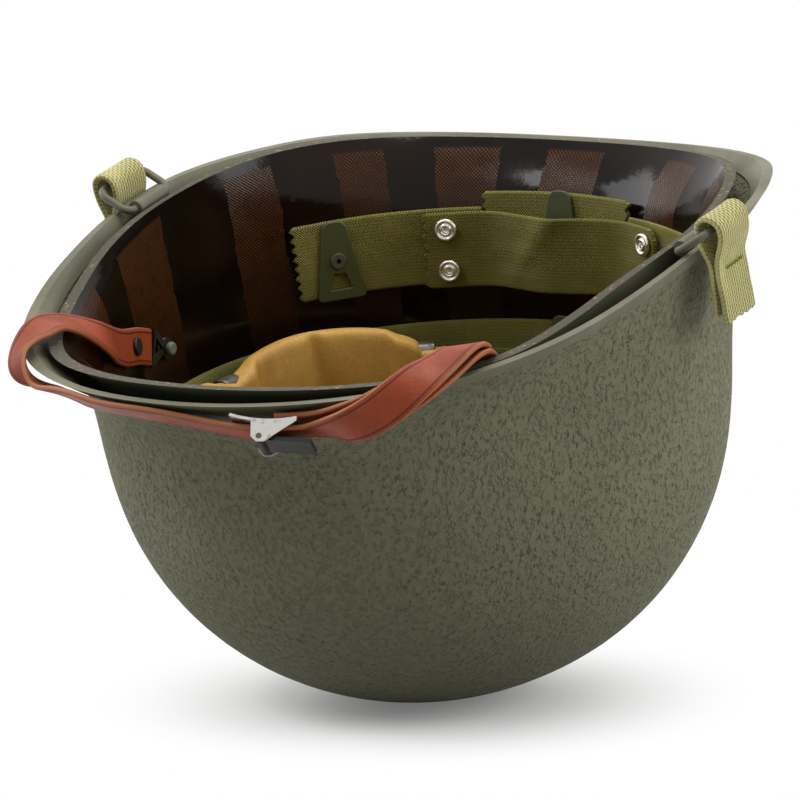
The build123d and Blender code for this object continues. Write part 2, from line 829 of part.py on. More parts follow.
# Clips from the top of the headband to the top of the suspension band
with BuildPart() as headband_clips:
    for angle in clip_angles:
        turn_in = math.radians(angle)
        reach = headband_front if math.cos(turn_in) > 0 else headband_rear
        hold = Vector(headband_half_width * math.sin(turn_in), -reach * math.cos(turn_in), 0)
        toward = Vector(reach * math.sin(turn_in), -headband_half_width * math.cos(turn_in), 0).normalized()
        top = (headband_lean * Location(hold)).position
        polar = math.degrees(math.atan2(top.X, -top.Y))
        wall = liner.point(polar, band_high, -wall_face - tape)
        gap = (math.hypot(wall[0], wall[1]) - math.hypot(top.X, top.Y)) * toward.dot(hold.normalized())
        lean_in = clip_drop * toward.Y * math.tan(math.radians(headband_pitch))
        inner = -headband_tape - leather - 2 * clip_gap
        outer = leather + 2 * clip_gap
        peak = top.Z + leather + 2 * clip_gap
        hook = band_high + 2 * clip_gap
        side = Plane(origin=Vector(top.X, top.Y, 0), x_dir=toward, z_dir=Vector(toward.Y, -toward.X, 0))
        with BuildSketch(side):
            with BuildLine():
                Polyline(
                    (inner - lean_in, peak - clip_drop),
                    (inner, peak),
                    (outer, peak),
                    (gap - clip_gap, hook),
                    (gap + tape / 2, hook),
                )
                offset(amount=clip_stock, side=Side.LEFT)
            make_face()
        extrude(amount=clip_width / 2, both=True)

# Buckle frame at the back of the headband, with its bar
buckle_sag = headband_buckle_width**2 * headband_rear / (8 * headband_half_width**2)
with BuildPart() as rear_frame_blank:
    with BuildSketch(Plane.XZ.offset(headband_tape + clip_gap + buckle_sag - headband_rear)):
        with Locations((0, -headband_width / 2)):
            Rectangle(headband_buckle_width, headband_width + headband_buckle_wire)
            with GridLocations(headband_buckle_width / 2 - headband_buckle_wire / 4, 0, 2, 1):
                Rectangle(
                    headband_buckle_width / 2 - 3 * headband_buckle_wire / 2,
                    headband_width - headband_buckle_wire,
                    mode=Mode.SUBTRACT,
                )
    extrude(amount=headband_buckle_stock)
with BuildPart() as headband_buckle:
    add(rear_frame_blank.part.moved(headband_lean))

# Studs of the chin strap: flanged inside, headed outside, on one axis across the helmet
stud_plane = stud_planes[0]
stud_seat = strap_gap
hook_low = stud_seat + rivet_head + layer_gap
hook_high = hook_low + hook_stock
with BuildPart() as stud_right:
    with BuildSketch(stud_plane.offset(-liner_wall - rivet_head - stud_seat)):
        Circle(rivet_head_radius)
    extrude(amount=rivet_head)
    with BuildSketch(stud_plane.offset(-liner_wall - stud_seat)):
        Circle(rivet_radius)
    extrude(amount=liner_wall + 2 * stud_seat)
    with BuildSketch(stud_plane.offset(stud_seat)):
        Circle(strap_stud_flange)
    extrude(amount=rivet_head)
    with BuildSketch(stud_plane.offset(stud_seat)):
        Circle(strap_stud_neck)
    extrude(amount=hook_high + layer_gap - stud_seat)
    with BuildSketch(stud_plane.offset(hook_high + layer_gap)):
        Circle(strap_stud_head)
    extrude(amount=strap_stud_crown)
    fillet(stud_right.edges().group_by(Axis.X)[0], strap_stud_crown / 2)
with BuildPart() as strap_studs:
    add(stud_right.part)
    add(mirrored(stud_right.part))

# Hooks that swing on the studs and carry the strap ends, bent to follow the wall
hook_place = stud_plane.location * Location((0, 0, hook_low), (0, 0, hook_rise))
hook_half = (strap_width + hook_stock) / 2
hook_bend = Plane.XY.location * Location((stud_neck_reach, 0, 0), (0, -hook_tilt, 0))
with BuildPart() as hook_blank:
    with BuildSketch():
        Circle(hook_eye)
    extrude(amount=hook_stock)
    with BuildSketch(Plane(hook_bend)):
        Polygon(
            (0, hook_eye / 2),
            (0, -hook_eye / 2),
            (hook_length - stud_neck_reach, -hook_half),
            (hook_length - stud_neck_reach, hook_half),
            align=None,
        )
        Polygon(
            (hook_stock, 0),
            (hook_length - stud_neck_reach - hook_stock, -hook_half / 2),
            (hook_length - stud_neck_reach - hook_stock, hook_half / 2),
            align=None,
            mode=Mode.SUBTRACT,
        )
    extrude(amount=hook_stock)
    with BuildSketch():
        Circle(strap_stud_neck + pin_clearance)
    extrude(amount=hook_length, both=True, mode=Mode.SUBTRACT)
with BuildPart() as strap_hooks:
    add(hook_blank.part.moved(hook_place))
    add(mirrored(hook_blank.part.moved(hook_place)))


# Route of the chin strap: up the liner wall, over both rims and along the brim outside
def inner_station(angle, depth_share, stand_share):
    height = liner.rim_z(angle) - depth_share * strap_width
    stand = liner_wall + strap_gap + strap / 2 + stand_share * strap_width
    return station(liner.frame(angle, height, stand))


def outer_station(angle, depth_share, stand_share):
    height = pot.rim_z(angle) - depth_share * strap_width
    stand = band_stock + strap_gap + strap / 2 + stand_share * strap_width
    return station(pot.frame(angle, height, -stand), outwards=True)


def turn_station(angle, out_share, up_share, lean):
    edge = pot.rim(angle)
    away = edge / np.linalg.norm(edge)
    spot = edge + out_share * strap_width * away
    tip = math.radians(lean)
    point = np.array([spot[0], spot[1], pot.rim_z(angle) + up_share * strap_width])
    return point, np.array([away[0] * math.cos(tip), away[1] * math.cos(tip), math.sin(tip)])


def lifted(spot, stand):
    """The same station, stood off its face."""
    return spot[0] + stand * spot[1] / np.linalg.norm(spot[1]), spot[1]


def other_side(shares):
    """The same station on the wearer's left."""
    return (-shares[0], *shares[1:])


short_route = [outer_station(*shares) for shares in right_outer_shares[1:]]
short_route += [turn_station(*shares) for shares in right_turn_shares]
short_route += [inner_station(*shares) for shares in reversed(inner_run_shares)]
layer = strap + layer_gap
buckle_layer = strap + buckle_stock + 4 * layer_gap
long_route = [inner_station(*other_side(shares)) for shares in inner_run_shares]
long_route += [turn_station(*other_side(shares)) for shares in left_turn_shares]
long_route += [outer_station(*other_side(shares)) for shares in left_outer_shares]
long_route += [lifted(outer_station(*right_outer_shares[0]), layer)]
buckle_index = len(long_route)
long_route += [lifted(station(strip_place(short_route, share)), buckle_layer) for share in doubled_shares]

with BuildPart() as strap_short:
    add(ribbon(short_route, strap_width, strap, 32, True))
with BuildPart() as strap_long:
    add(ribbon(long_route, strap_width, strap, 72, True))

# Rivet buttons that close the folded strap ends
button_place = strip_place(short_route, 1 - button_station / run_to(short_route, len(short_route) - 1))
with BuildPart() as button_blank:
    with BuildSketch(Plane.XY.offset(strap / 2 + pin_clearance)):
        Circle(button_radius)
    extrude(amount=button_height)
    fillet(button_blank.edges().group_by(Axis.Z)[-1], button_height / 2)
with BuildPart() as strap_buttons:
    add(button_blank.part.moved(button_place.location))
    add(mirrored(button_blank.part.moved(button_place.location)))

# Sliding cam buckle on the outer run, its base bowed like the strap
buckle_share = run_to(long_route, buckle_index) / run_to(long_route, len(long_route) - 1)
buckle_plane = strip_place(long_route, buckle_share)
base_low = -strap / 2 - 3 * layer_gap / 2 - buckle_stock
pin_x = -buckle_length / 2 + lever_hub + buckle_stock
pin_z = strap / 2 + layer_gap + lever_hub
ear_y = strap_width / 2 + buckle_gap
tail_x = -buckle_length / 2 - tail_length


def bowed(x):
    """Point of the base's lower face, dropping off both ways with the strap."""
    return (x, base_low - x * x / (2 * buckle_bow))


with BuildPart() as buckle_blank:
    with BuildSketch(Plane.XZ):
        with BuildLine():
            ThreePointArc(bowed(tail_x), bowed((tail_x + buckle_length / 2) / 2), bowed(buckle_length / 2))
            offset(amount=buckle_stock, side=Side.LEFT)
        make_face()
    extrude(amount=ear_y + buckle_stock, both=True)
    with BuildSketch(Plane.XZ.offset(ear_y)):
        with BuildLine():
            Polyline(
                (-buckle_length / 2, base_low),
                (buckle_length / 2, base_low),
                (buckle_length / 2, base_low + buckle_stock),
                (pin_x + lever_hub, pin_z + lever_hub),
                (pin_x - lever_hub / 2, pin_z + lever_hub),
                (-buckle_length / 2, pin_z),
                close=True,
            )
        make_face()
    extrude(amount=buckle_stock)
    mirror(buckle_blank.part, about=Plane.XZ)
    with BuildSketch(Plane.XZ):
        with Locations((pin_x, pin_z)):
            Circle(buckle_pin_radius)
    extrude(amount=2 * strap_width, both=True, mode=Mode.SUBTRACT)
with BuildPart() as pin_blank:
    with BuildSketch(Plane.XZ):
        with Locations((pin_x, pin_z)):
            Circle(buckle_pin_radius)
    extrude(amount=ear_y + buckle_stock, both=True)
with BuildPart() as lever_blank:
    with BuildSketch(Plane.XZ):
        with Locations((pin_x, pin_z)):
            Circle(lever_hub)
        with Locations(Location((pin_x, pin_z), lever_lift)):
            Rectangle(lever_length, lever_stock, align=(Align.MIN, Align.CENTER))
        with Locations((pin_x, pin_z)):
            Circle(buckle_pin_radius + pin_clearance, mode=Mode.SUBTRACT)
    extrude(amount=ear_y - buckle_gap, both=True)
with BuildPart() as buckle_frame:
    add(buckle_blank.part.moved(buckle_plane.location))
with BuildPart() as buckle_pin:
    add(pin_blank.part.moved(buckle_plane.location))
with BuildPart() as buckle_lever:
    add(lever_blank.part.moved(buckle_plane.location))

pieces = {
    "steel_shell": steel_shell,
    "rim_band": rim_band,
    "lug_left": lug_left,
    "lug_right": lug_right,
    "bail_left": bail_left,
    "bail_right": bail_right,
    "webbing_end_left": webbing_end_left,
    "webbing_end_right": webbing_end_right,
    "liner_shell": liner_shell,
    "suspension_band": suspension_band,
    "suspension_washers": suspension_washers,
    "washer_rivets": washer_rivets,
    "crown_straps": crown_straps,
    "crown_lace": crown_lace,
    "headband": headband,
    "headband_leather": headband_leather,
    "headband_clips": headband_clips,
    "headband_buckle": headband_buckle,
    "nape_tab_left": nape_tab_left,
    "nape_tab_right": nape_tab_right,
    "nape_tab_centre": nape_tab_centre,
    "nape_washers": nape_washers,
    "nape_band": nape_band,
    "press_studs": press_studs,
    "press_stud_bases": press_stud_bases,
    "strap_studs": strap_studs,
    "strap_hooks": strap_hooks,
    "strap_long": strap_long,
    "strap_short": strap_short,
    "strap_buttons": strap_buttons,
    "buckle_frame": buckle_frame,
    "buckle_pin": buckle_pin,
    "buckle_lever": buckle_lever,
}

for name, piece in pieces.items():
    piece.part = piece.part.moved(rest_place)
    piece.part.label = name
    export_step(piece.part, f"parts/{name}.step")
    print(name, round(piece.part.volume), len(piece.part.solids()), piece.part.is_valid)
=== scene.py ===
import math

import bpy
import numpy as np
from mathutils import Matrix, Vector
from mathutils.bvhtree import BVHTree


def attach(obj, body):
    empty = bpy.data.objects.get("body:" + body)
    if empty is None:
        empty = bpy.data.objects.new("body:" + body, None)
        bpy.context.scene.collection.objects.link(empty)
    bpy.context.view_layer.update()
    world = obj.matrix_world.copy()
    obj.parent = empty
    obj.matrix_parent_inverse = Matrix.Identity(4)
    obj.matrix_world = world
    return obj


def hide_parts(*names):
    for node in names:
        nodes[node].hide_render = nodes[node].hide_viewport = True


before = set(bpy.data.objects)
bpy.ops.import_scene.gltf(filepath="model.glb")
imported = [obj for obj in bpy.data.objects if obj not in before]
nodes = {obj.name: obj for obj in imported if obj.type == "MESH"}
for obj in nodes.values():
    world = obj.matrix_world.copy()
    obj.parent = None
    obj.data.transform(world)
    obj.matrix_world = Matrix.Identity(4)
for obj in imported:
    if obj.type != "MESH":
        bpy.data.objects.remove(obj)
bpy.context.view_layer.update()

# The helmet leans on its crown: its own millimetres to the frame's metres
LEAN = math.radians(9.8)
HELMET = Matrix.Translation((0.0, 0.0236238, 0.0016292)) @ Matrix.Rotation(LEAN, 4, "X")
AXIS = HELMET.to_3x3() @ Vector((0.0, 0.0, 1.0))


def helm(x, y, z):
    return HELMET @ (Vector((x, y, z)) / 1000)


def helm_way(x, y, z):
    return (HELMET.to_3x3() @ Vector((x, y, z))).normalized()


def put(name, data):
    """New object in the scene."""
    obj = bpy.data.objects.new(name, data)
    bpy.context.collection.objects.link(obj)
    return obj


# Camera at the photograph's angle
AZIMUTH = math.radians(34.8370)
ELEVATION = math.radians(9.2795)
ROLL = math.radians(-1.0186)
DISTANCE = 2.095065
target = Vector((-0.0100573 * math.cos(AZIMUTH), -0.0100573 * math.sin(AZIMUTH) + 0.00483, 0.104542))
away = Vector(
    (
        math.sin(AZIMUTH) * math.cos(ELEVATION),
        -math.cos(AZIMUTH) * math.cos(ELEVATION),
        math.sin(ELEVATION),
    )
)
lens = bpy.data.cameras.new("camera")
lens.lens = 268.544
lens.sensor_width = 36.0
lens.clip_end = 50.0
camera = put("camera", lens)
turn = (-away).to_track_quat("-Z", "Y").to_matrix().to_4x4()
camera.matrix_world = Matrix.Translation(target + DISTANCE * away) @ turn @ Matrix.Rotation(ROLL, 4, "Z")
bpy.context.scene.camera = camera
bpy.context.scene.view_settings.view_transform = "Standard"


# Materials
def srgb(red, green, blue):
    """Linear colour of an 8-bit one."""
    linear = []
    for level in (red, green, blue):
        c = level / 255
        linear.append(c / 12.92 if c <= 0.04045 else ((c + 0.055) / 1.055) ** 2.4)
    return (*linear, 1.0)


def scaled(colour, share):
    """The colour made darker or lighter."""
    return [min(1, c * share) for c in colour[:3]] + [1.0]


class Shade:
    """A Principled material with short ways to add the nodes that colour and roughen it."""

    def __init__(self, name, roughness=0.6, metallic=0.0, specular=0.5):
        self.material = bpy.data.materials.new(name)
        self.material.use_nodes = True
        self.nodes = self.material.node_tree.nodes
        self.links = self.material.node_tree.links
        self.surface = self.nodes["Principled BSDF"]
        self.surface.inputs["Roughness"].default_value = roughness
        self.surface.inputs["Metallic"].default_value = metallic
        self.surface.inputs["Specular IOR Level"].default_value = specular
        place = self.nodes.new("ShaderNodeTexCoord")
        self.place = place.outputs["Object"]
        self.facing = place.outputs["Normal"]
        self.uv = place.outputs["UV"]
        self.relief = None

    def feed(self, socket, value):
        if isinstance(value, bpy.types.NodeSocket):
            self.links.new(value, socket)
        else:
            socket.default_value = value

    def math(self, kind, *values):
        node = self.nodes.new("ShaderNodeMath")
        node.operation = kind
        for socket, value in zip(node.inputs, values):
            self.feed(socket, value)
        return node.outputs[0]

    def times(self, first, second):
        return self.math("MULTIPLY", first, second)

    def plus(self, first, second):
        return self.math("ADD", first, second)

    def minus(self, first, second):
        return self.math("SUBTRACT", first, second)

    def wave(self, run, pitch):
        return self.math("SINE", self.times(run, 2 * math.pi / pitch))

    def vector(self, kind, *values):
        node = self.nodes.new("ShaderNodeVectorMath")
        node.operation = kind
        for socket, value in zip(node.inputs, values):
            self.feed(socket, value)
        return node

    def split(self, vector):
        node = self.nodes.new("ShaderNodeSeparateXYZ")
        self.feed(node.inputs[0], vector)
        return node.outputs

    def noise(self, scale, detail=3.0, rough=0.5, where=None, stretch=(1.0, 1.0, 1.0)):
        where = self.place if where is None else where
        if stretch != (1.0, 1.0, 1.0):
            where = self.vector("MULTIPLY", where, stretch).outputs[0]
        node = self.nodes.new("ShaderNodeTexNoise")
        self.feed(node.inputs["Vector"], where)
        node.inputs["Scale"].default_value = scale
        node.inputs["Detail"].default_value = detail
        node.inputs["Roughness"].default_value = rough
        return node.outputs[0]

    def cells(self, scale):
        node = self.nodes.new("ShaderNodeTexVoronoi")
        self.feed(node.inputs["Vector"], self.place)
        node.inputs["Scale"].default_value = scale
        return node.outputs["Distance"]

    def between(self, value, low, high, first=0.0, last=1.0):
        node = self.nodes.new("ShaderNodeMapRange")
        node.interpolation_type = "SMOOTHSTEP"
        for name, setting in (("From Min", low), ("From Max", high), ("To Min", first), ("To Max", last)):
            self.feed(node.inputs[name], setting)
        self.feed(node.inputs["Value"], value)
        return node.outputs[0]

    def mix(self, share, first, second):
        node = self.nodes.new("ShaderNodeMix")
        node.data_type = "RGBA"
        self.feed(node.inputs[0], share)
        self.feed(node.inputs[6], first)
        self.feed(node.inputs[7], second)
        return node.outputs[2]

    def bump(self, height, depth, strength=1.0):
        node = self.nodes.new("ShaderNodeBump")
        node.inputs["Distance"].default_value = depth
        node.inputs["Strength"].default_value = strength
        self.feed(node.inputs["Height"], height)
        if self.relief is not None:
            self.links.new(self.relief, node.inputs["Normal"])
        self.relief = node.outputs[0]
        self.links.new(self.relief, self.surface.inputs["Normal"])

    def colour(self, value):
        self.feed(self.surface.inputs["Base Color"], value)

    def rough(self, value):
        self.feed(self.surface.inputs["Roughness"], value)

    def helmet(self):
        """Coordinates of the helmet itself, its axis upright, in metres."""
        node = self.nodes.new("ShaderNodeVectorRotate")
        node.rotation_type = "X_AXIS"
        node.inputs["Angle"].default_value = -LEAN
        lifted = self.vector("SUBTRACT", self.place, tuple(HELMET.translation))
        self.feed(node.inputs["Vector"], lifted.outputs[0])
        return self.split(node.outputs[0])


def sanded_paint(name, colour, pit_shade_strength):
    """Matte paint over cork or sand, with short worm-like pits, closer in some patches; the pits and fine
    specks are darkened as painted shade, and the raised grains are lightened as a painted highlight.
    """
    shade = Shade(name, roughness=0.8, specular=0.3)
    broad = shade.noise(16, 4)
    patch = shade.noise(38, 3)
    tint = shade.mix(shade.between(broad, 0.3, 0.7), colour, scaled(colour, 0.84))
    grit = shade.noise(540, 2.5, 0.6, stretch=(1.0, 1.0, 0.8))
    dense = shade.between(patch, 0.35, 0.62, 0.25, 1.0)
    # Painted shade: the pits and the fine specks darken the paint as if their hollows lay in shade.
    pit_shade = shade.times(shade.between(grit, 0.6, 0.68), dense)
    grain = shade.noise(900, 3, 0.65)
    speck = shade.times(shade.between(grain, 0.62, 0.72), 0.5)
    pit_shade = shade.times(shade.math("MAXIMUM", pit_shade, speck), pit_shade_strength)
    # Painted highlight: the raised grains are lightened as if they caught the light.
    raised_highlight = shade.between(grit, 0.3, 0.44, 1.0, 0.0)
    tint = shade.mix(shade.times(raised_highlight, 0.22), tint, scaled(colour, 1.3))
    shade.colour(shade.mix(pit_shade, tint, scaled(colour, 0.34)))
    shade.bump(grain, 0.0003, 0.6)
    shade.bump(shade.minus(1.0, shade.between(grit, 0.45, 0.7)), 0.0008, 0.9)
    shade.bump(shade.noise(120, 3, 0.6), 0.001, 0.35)
    shade.rough(shade.between(grain, 0.3, 0.7, 0.7, 0.9))
    return shade


def smooth_paint(name, colour, roughness=0.55, chips=0.0, chip_colour=(0.5, 0.5, 0.48, 1.0)):
    """Brushed-on paint with dull patches, and bare chips where it wears."""
    shade = Shade(name, roughness=roughness, specular=0.4)
    broad = shade.noise(35, 4)
    tint = shade.mix(shade.between(broad, 0.35, 0.65), colour, scaled(colour, 0.78))
    if chips:
        flake = shade.noise(520, 5, 0.7)
        chip = shade.between(flake, 0.76 - 0.12 * chips, 0.78 - 0.12 * chips)
        tint = shade.mix(chip, tint, chip_colour)
        shade.bump(shade.minus(1.0, chip), 0.0002, 0.6)
    shade.colour(tint)
    shade.bump(shade.noise(700, 4, 0.6), 0.00012, 0.5)
    shade.bump(shade.noise(90, 3), 0.0006, 0.25)
    shade.rough(shade.between(broad, 0.3, 0.7, roughness - 0.08, roughness + 0.12))
    return shade


WEAVE_STRIPS = (
    (-158.0, 6.4),
    (-137.0, 5.0),
    (-113.5, 6.0),
    (-81.0, 8.0),
    (-54.0, 6.5),
    (-27.0, 6.0),
    (0.0, 6.0),
    (26.0, 6.0),
    (52.0, 6.0),
    (78.0, 6.5),
    (102.0, 6.0),
    (127.0, 6.0),
    (151.5, 5.6),
)
REAR_STRIP = 6.4


def rim_curve():
    """Fourth-degree curve through the height of the liner's rim from its visor to its rear."""
    mesh = nodes["liner_shell"].data
    back = HELMET.inverted()
    spots = [back @ v.co for v in mesh.vertices]
    highest = {}
    for spot in spots:
        step = round(spot.y / 0.008)
        highest[step] = max(highest.get(step, 0.0), spot.z)
    ahead = sorted(highest)
    return np.polyfit([k * 0.008 for k in ahead], [highest[k] for k in ahead], 4)


def liner_paint():
    """Outside green paint, inside dark varnished fibre with lighter strips of its weave that turn dark deeper
    in the bowl as painted shade, worn edge.
    """
    shade = Shade("liner_fibre", roughness=0.22, specular=0.15)
    x, y, z = shade.helmet()
    spoke = shade.vector("SUBTRACT", shade.place, tuple(helm(0, 0, 118)))
    outward = shade.vector("DOT_PRODUCT", shade.facing, spoke.outputs[0]).outputs["Value"]
    outside = shade.math("GREATER_THAN", outward, 0.0)
    upright = shade.vector("DOT_PRODUCT", shade.facing, tuple(AXIS)).outputs["Value"]
    rim = 0.0
    for factor in rim_curve():
        rim = shade.plus(shade.times(rim, y), float(factor))
    below = shade.minus(rim, z)
    near = shade.math("LESS_THAN", below, 0.005)
    edge = shade.times(shade.between(upright, 0.86, 0.93), near)

    angle = shade.math("ARCTAN2", x, shade.times(y, -1.0))
    ragged = shade.times(shade.minus(shade.noise(60, 4, 0.7), 0.5), 0.05)
    share = shade.plus(shade.plus(angle, ragged), math.pi)
    share = shade.math("DIVIDE", share, 2 * math.pi)
    strips = shade.nodes.new("ShaderNodeValToRGB")
    strips.color_ramp.interpolation = "CONSTANT"
    stops = strips.color_ramp.elements
    stops[0].position = 0.0
    stops[0].color = (1.0, 1.0, 1.0, 1.0)
    stops[1].position = REAR_STRIP / 360
    stops[1].color = (0.0, 0.0, 0.0, 1.0)
    for centre, half in WEAVE_STRIPS:
        on = stops.new((centre - half + 180) / 360)
        on.color = (1.0, 1.0, 1.0, 1.0)
        off = stops.new((centre + half + 180) / 360)
        off.color = (0.0, 0.0, 0.0, 1.0)
    last = stops.new(1 - REAR_STRIP / 360)
    last.color = (1.0, 1.0, 1.0, 1.0)
    shade.feed(strips.inputs[0], share)
    border = shade.between(below, 0.0035, 0.005)
    strip = shade.times(strips.outputs["Color"], border)
    strip = shade.times(strip, shade.between(z, 0.035, 0.07))

    run = shade.times(angle, 0.1)
    warp = shade.wave(run, 0.0013)
    weft = shade.wave(z, 0.0012)
    weave = shade.between(shade.times(warp, weft), -0.2, 0.9)
    weave = shade.times(weave, shade.between(shade.noise(150, 3), 0.2, 0.6, 0.45, 1.0))
    cloth = shade.mix(weave, srgb(30, 16, 7), srgb(104, 60, 26))
    # Painted shade: below about 0.1 m up from the crown the weave strips turn dark, as shade deep in the
    # bowl.
    painted_deep_shade = shade.between(z, 0.1, 0.15)
    cloth = shade.mix(painted_deep_shade, srgb(30, 16, 8), cloth)
    hidden = shade.times(weave, shade.between(shade.noise(40, 3), 0.4, 0.7, 0.0, 0.3))
    lacquer = shade.mix(shade.between(shade.noise(25, 4), 0.35, 0.7), srgb(12, 7, 4), srgb(28, 16, 8))
    lacquer = shade.mix(hidden, lacquer, srgb(58, 34, 18))
    inside = shade.mix(strip, lacquer, cloth)

    green = shade.mix(shade.between(shade.noise(30, 4), 0.3, 0.7), srgb(96, 97, 80), srgb(78, 80, 66))
    colour = shade.mix(outside, inside, green)
    flecks = shade.between(shade.noise(420, 4, 0.7), 0.58, 0.66)
    bare = shade.mix(flecks, srgb(84, 80, 68), srgb(150, 126, 96))
    shade.colour(shade.mix(edge, colour, bare))

    rough_inside = shade.between(shade.noise(60, 4), 0.3, 0.75, 0.08, 0.2)
    rough_all = shade.math("MAXIMUM", rough_inside, shade.times(outside, 0.6))
    shade.rough(shade.math("MAXIMUM", rough_all, shade.times(edge, 0.7)))
    shade.bump(shade.times(shade.times(warp, weft), strip), 0.00007, 0.5)
    shade.bump(shade.noise(30, 2), 0.0015, 0.12)
    shade.bump(shade.noise(420, 3), 0.0002, 0.25)
    return shade


def webbing_cloth(name, light, dark, pitch=0.0011, rib=0.0014, herringbone=0.0, worn=0.3):
    """Woven cotton tape: the run is the first UV axis and the width the second, in metres."""
    shade = Shade(name, roughness=0.88, specular=0.2)
    shade.surface.inputs["Sheen Weight"].default_value = 0.12
    shade.surface.inputs["Sheen Roughness"].default_value = 0.5
    s, u, _ = shade.split(shade.uv)
    wander = shade.times(shade.minus(shade.noise(120, 2), 0.5), 0.0006)
    if herringbone:
        fold = shade.math("PINGPONG", u, herringbone)
        slant = shade.plus(s, fold)
        slant = shade.plus(slant, wander)
        twill = shade.wave(slant, pitch)
        thread = shade.wave(u, rib)
        weave = shade.plus(shade.times(twill, 0.75), shade.times(thread, 0.25))
    else:
        rib_wave = shade.wave(u, rib)
        lean = shade.plus(shade.plus(s, wander), shade.times(u, 0.6))
        cross = shade.wave(lean, pitch)
        weave = shade.plus(shade.times(rib_wave, 0.6), shade.times(cross, 0.4))
    level = shade.between(weave, -0.8, 0.7)
    tint = shade.mix(level, dark, light)
    broad = shade.noise(50, 4, 0.6)
    tint = shade.mix(shade.between(broad, 0.45, 0.75, 0.0, worn), tint, scaled(light, 1.5))
    stain = shade.noise(22, 4, 0.6)
    shade.colour(shade.mix(shade.between(stain, 0.5, 0.8, 0.0, 0.5), tint, scaled(dark, 0.7)))
    shade.bump(weave, 0.00022, 0.9)
    shade.bump(shade.noise(1500, 3, 0.7), 0.0002, 0.6)
    return shade


def leather_hide(name, light, dark, grain=1100, roughness=0.5, lines=None, raw=None, half=None):
    """Leather with grain and colour drift; lines are embossed at distances from the middle of the width."""
    shade = Shade(name, roughness=roughness, specular=0.28)
    broad = shade.noise(40, 4, 0.6)
    tint = shade.mix(shade.between(broad, 0.3, 0.72), light, dark)
    pores = shade.cells(grain)
    tint = shade.mix(shade.between(pores, 0.55, 0.15, 0.0, 0.3), tint, scaled(dark, 0.6))
    s, u, _ = shade.split(shade.uv)
    side = shade.math("ABSOLUTE", u)
    if lines:
        for place in lines:
            gap = shade.math("ABSOLUTE", shade.minus(side, place))
            groove = shade.between(gap, 0.00012, 0.00042)
            tint = shade.mix(groove, scaled(dark, 0.45), tint)
            shade.bump(groove, 0.0004, 0.8)
    if raw:
        ragged = shade.times(shade.minus(shade.noise(300, 3), 0.5), 0.0006)
        cut = shade.between(shade.plus(side, ragged), half - 0.0005, half - 0.0002)
        tint = shade.mix(cut, tint, raw)
    shade.colour(tint)
    shade.bump(pores, 0.00012, 0.6)
    shade.bump(shade.noise(160, 4, 0.6), 0.0004, 0.4)
    shade.rough(shade.between(broad, 0.3, 0.7, roughness - 0.06, roughness + 0.14))
    return shade


def worn_metal(name, colour, roughness=0.3, tarnish=None, scratches=0.6):
    """Plated or bare metal with fine scratches and dull patches."""
    shade = Shade(name, roughness=roughness, metallic=1.0)
    patch = shade.noise(420, 5, 0.65)
    dull = tarnish or scaled(colour, 0.4)
    shade.colour(shade.mix(shade.between(patch, 0.5, 0.75, 0.0, 0.6), colour, dull))
    lines = shade.noise(900, 2, 0.6, stretch=(1.0, 0.12, 0.5))
    shade.bump(lines, 0.00006, scratches)
    shade.bump(shade.noise(420, 3), 0.0001, 0.4)
    shade.rough(shade.between(patch, 0.3, 0.7, roughness, min(0.9, roughness + 0.3)))
    return shade


shell_paint = sanded_paint("shell_paint", srgb(122, 122, 97), 0.8)
rim_paint = smooth_paint("rim_paint", srgb(115, 112, 90), 0.55, chips=0.8, chip_colour=srgb(168, 164, 148))
bail_paint = smooth_paint("bail_paint", srgb(110, 107, 88), 0.5)
liner_fibre = liner_paint()
khaki_webbing = webbing_cloth("khaki_webbing", srgb(206, 200, 140), srgb(136, 130, 76), 0.0016, 0.0013)
olive_webbing = webbing_cloth("olive_webbing", srgb(152, 146, 72), srgb(94, 88, 34), 0.0010, 0.0012, 0.0045)
# Painted shade: the nape band's webbing is a slightly darker, less faded copy of the olive webbing, because
# the band lies in shade.
nape_webbing_shaded = webbing_cloth(
    "nape_webbing_shaded", srgb(144, 138, 62), srgb(88, 82, 28), 0.0010, 0.0012, 0.0045, 0.15
)
headband_webbing = webbing_cloth(
    "headband_webbing", srgb(118, 118, 58), srgb(68, 70, 30), 0.0011, 0.0012, 0.005
)
lace_cord = webbing_cloth("lace", srgb(150, 142, 100), srgb(96, 88, 58), 0.0012, 0.0008)
washer_paint = smooth_paint("washer_paint", srgb(72, 80, 44), 0.4, chips=0.1, chip_colour=srgb(96, 104, 80))
blackened_brass = worn_metal("blackened_brass", srgb(92, 88, 76), 0.38, srgb(36, 32, 24))
tan_leather = leather_hide("tan_leather", srgb(224, 176, 90), srgb(198, 146, 68), 1400, 0.42)
clip_steel = worn_metal("clip_steel", srgb(128, 124, 114), 0.36, srgb(66, 62, 54))
nickel = worn_metal("nickel", srgb(214, 208, 196), 0.2, srgb(120, 112, 92), 0.4)
stud_paint = smooth_paint("stud_paint", srgb(112, 122, 104), 0.5, chips=0.3, chip_colour=srgb(70, 66, 54))
black_wire = smooth_paint("black_wire", srgb(30, 29, 27), 0.4, chips=0.35, chip_colour=srgb(96, 90, 78))
strap_leather = leather_hide(
    "strap_leather",
    srgb(160, 68, 32),
    srgb(124, 50, 22),
    1500,
    0.46,
    lines=(0.0051,),
    raw=srgb(158, 98, 60),
    half=0.00675,
)
buckle_steel = worn_metal("buckle_steel", srgb(190, 188, 182), 0.28, srgb(70, 66, 58))
japanned = smooth_paint("japanned_lever", srgb(26, 25, 24), 0.3, chips=0.55, chip_colour=srgb(150, 146, 138))
green_thread = smooth_paint("green_thread", srgb(132, 150, 28), 0.8)
black_thread = smooth_paint("black_thread", srgb(28, 24, 20), 0.7)

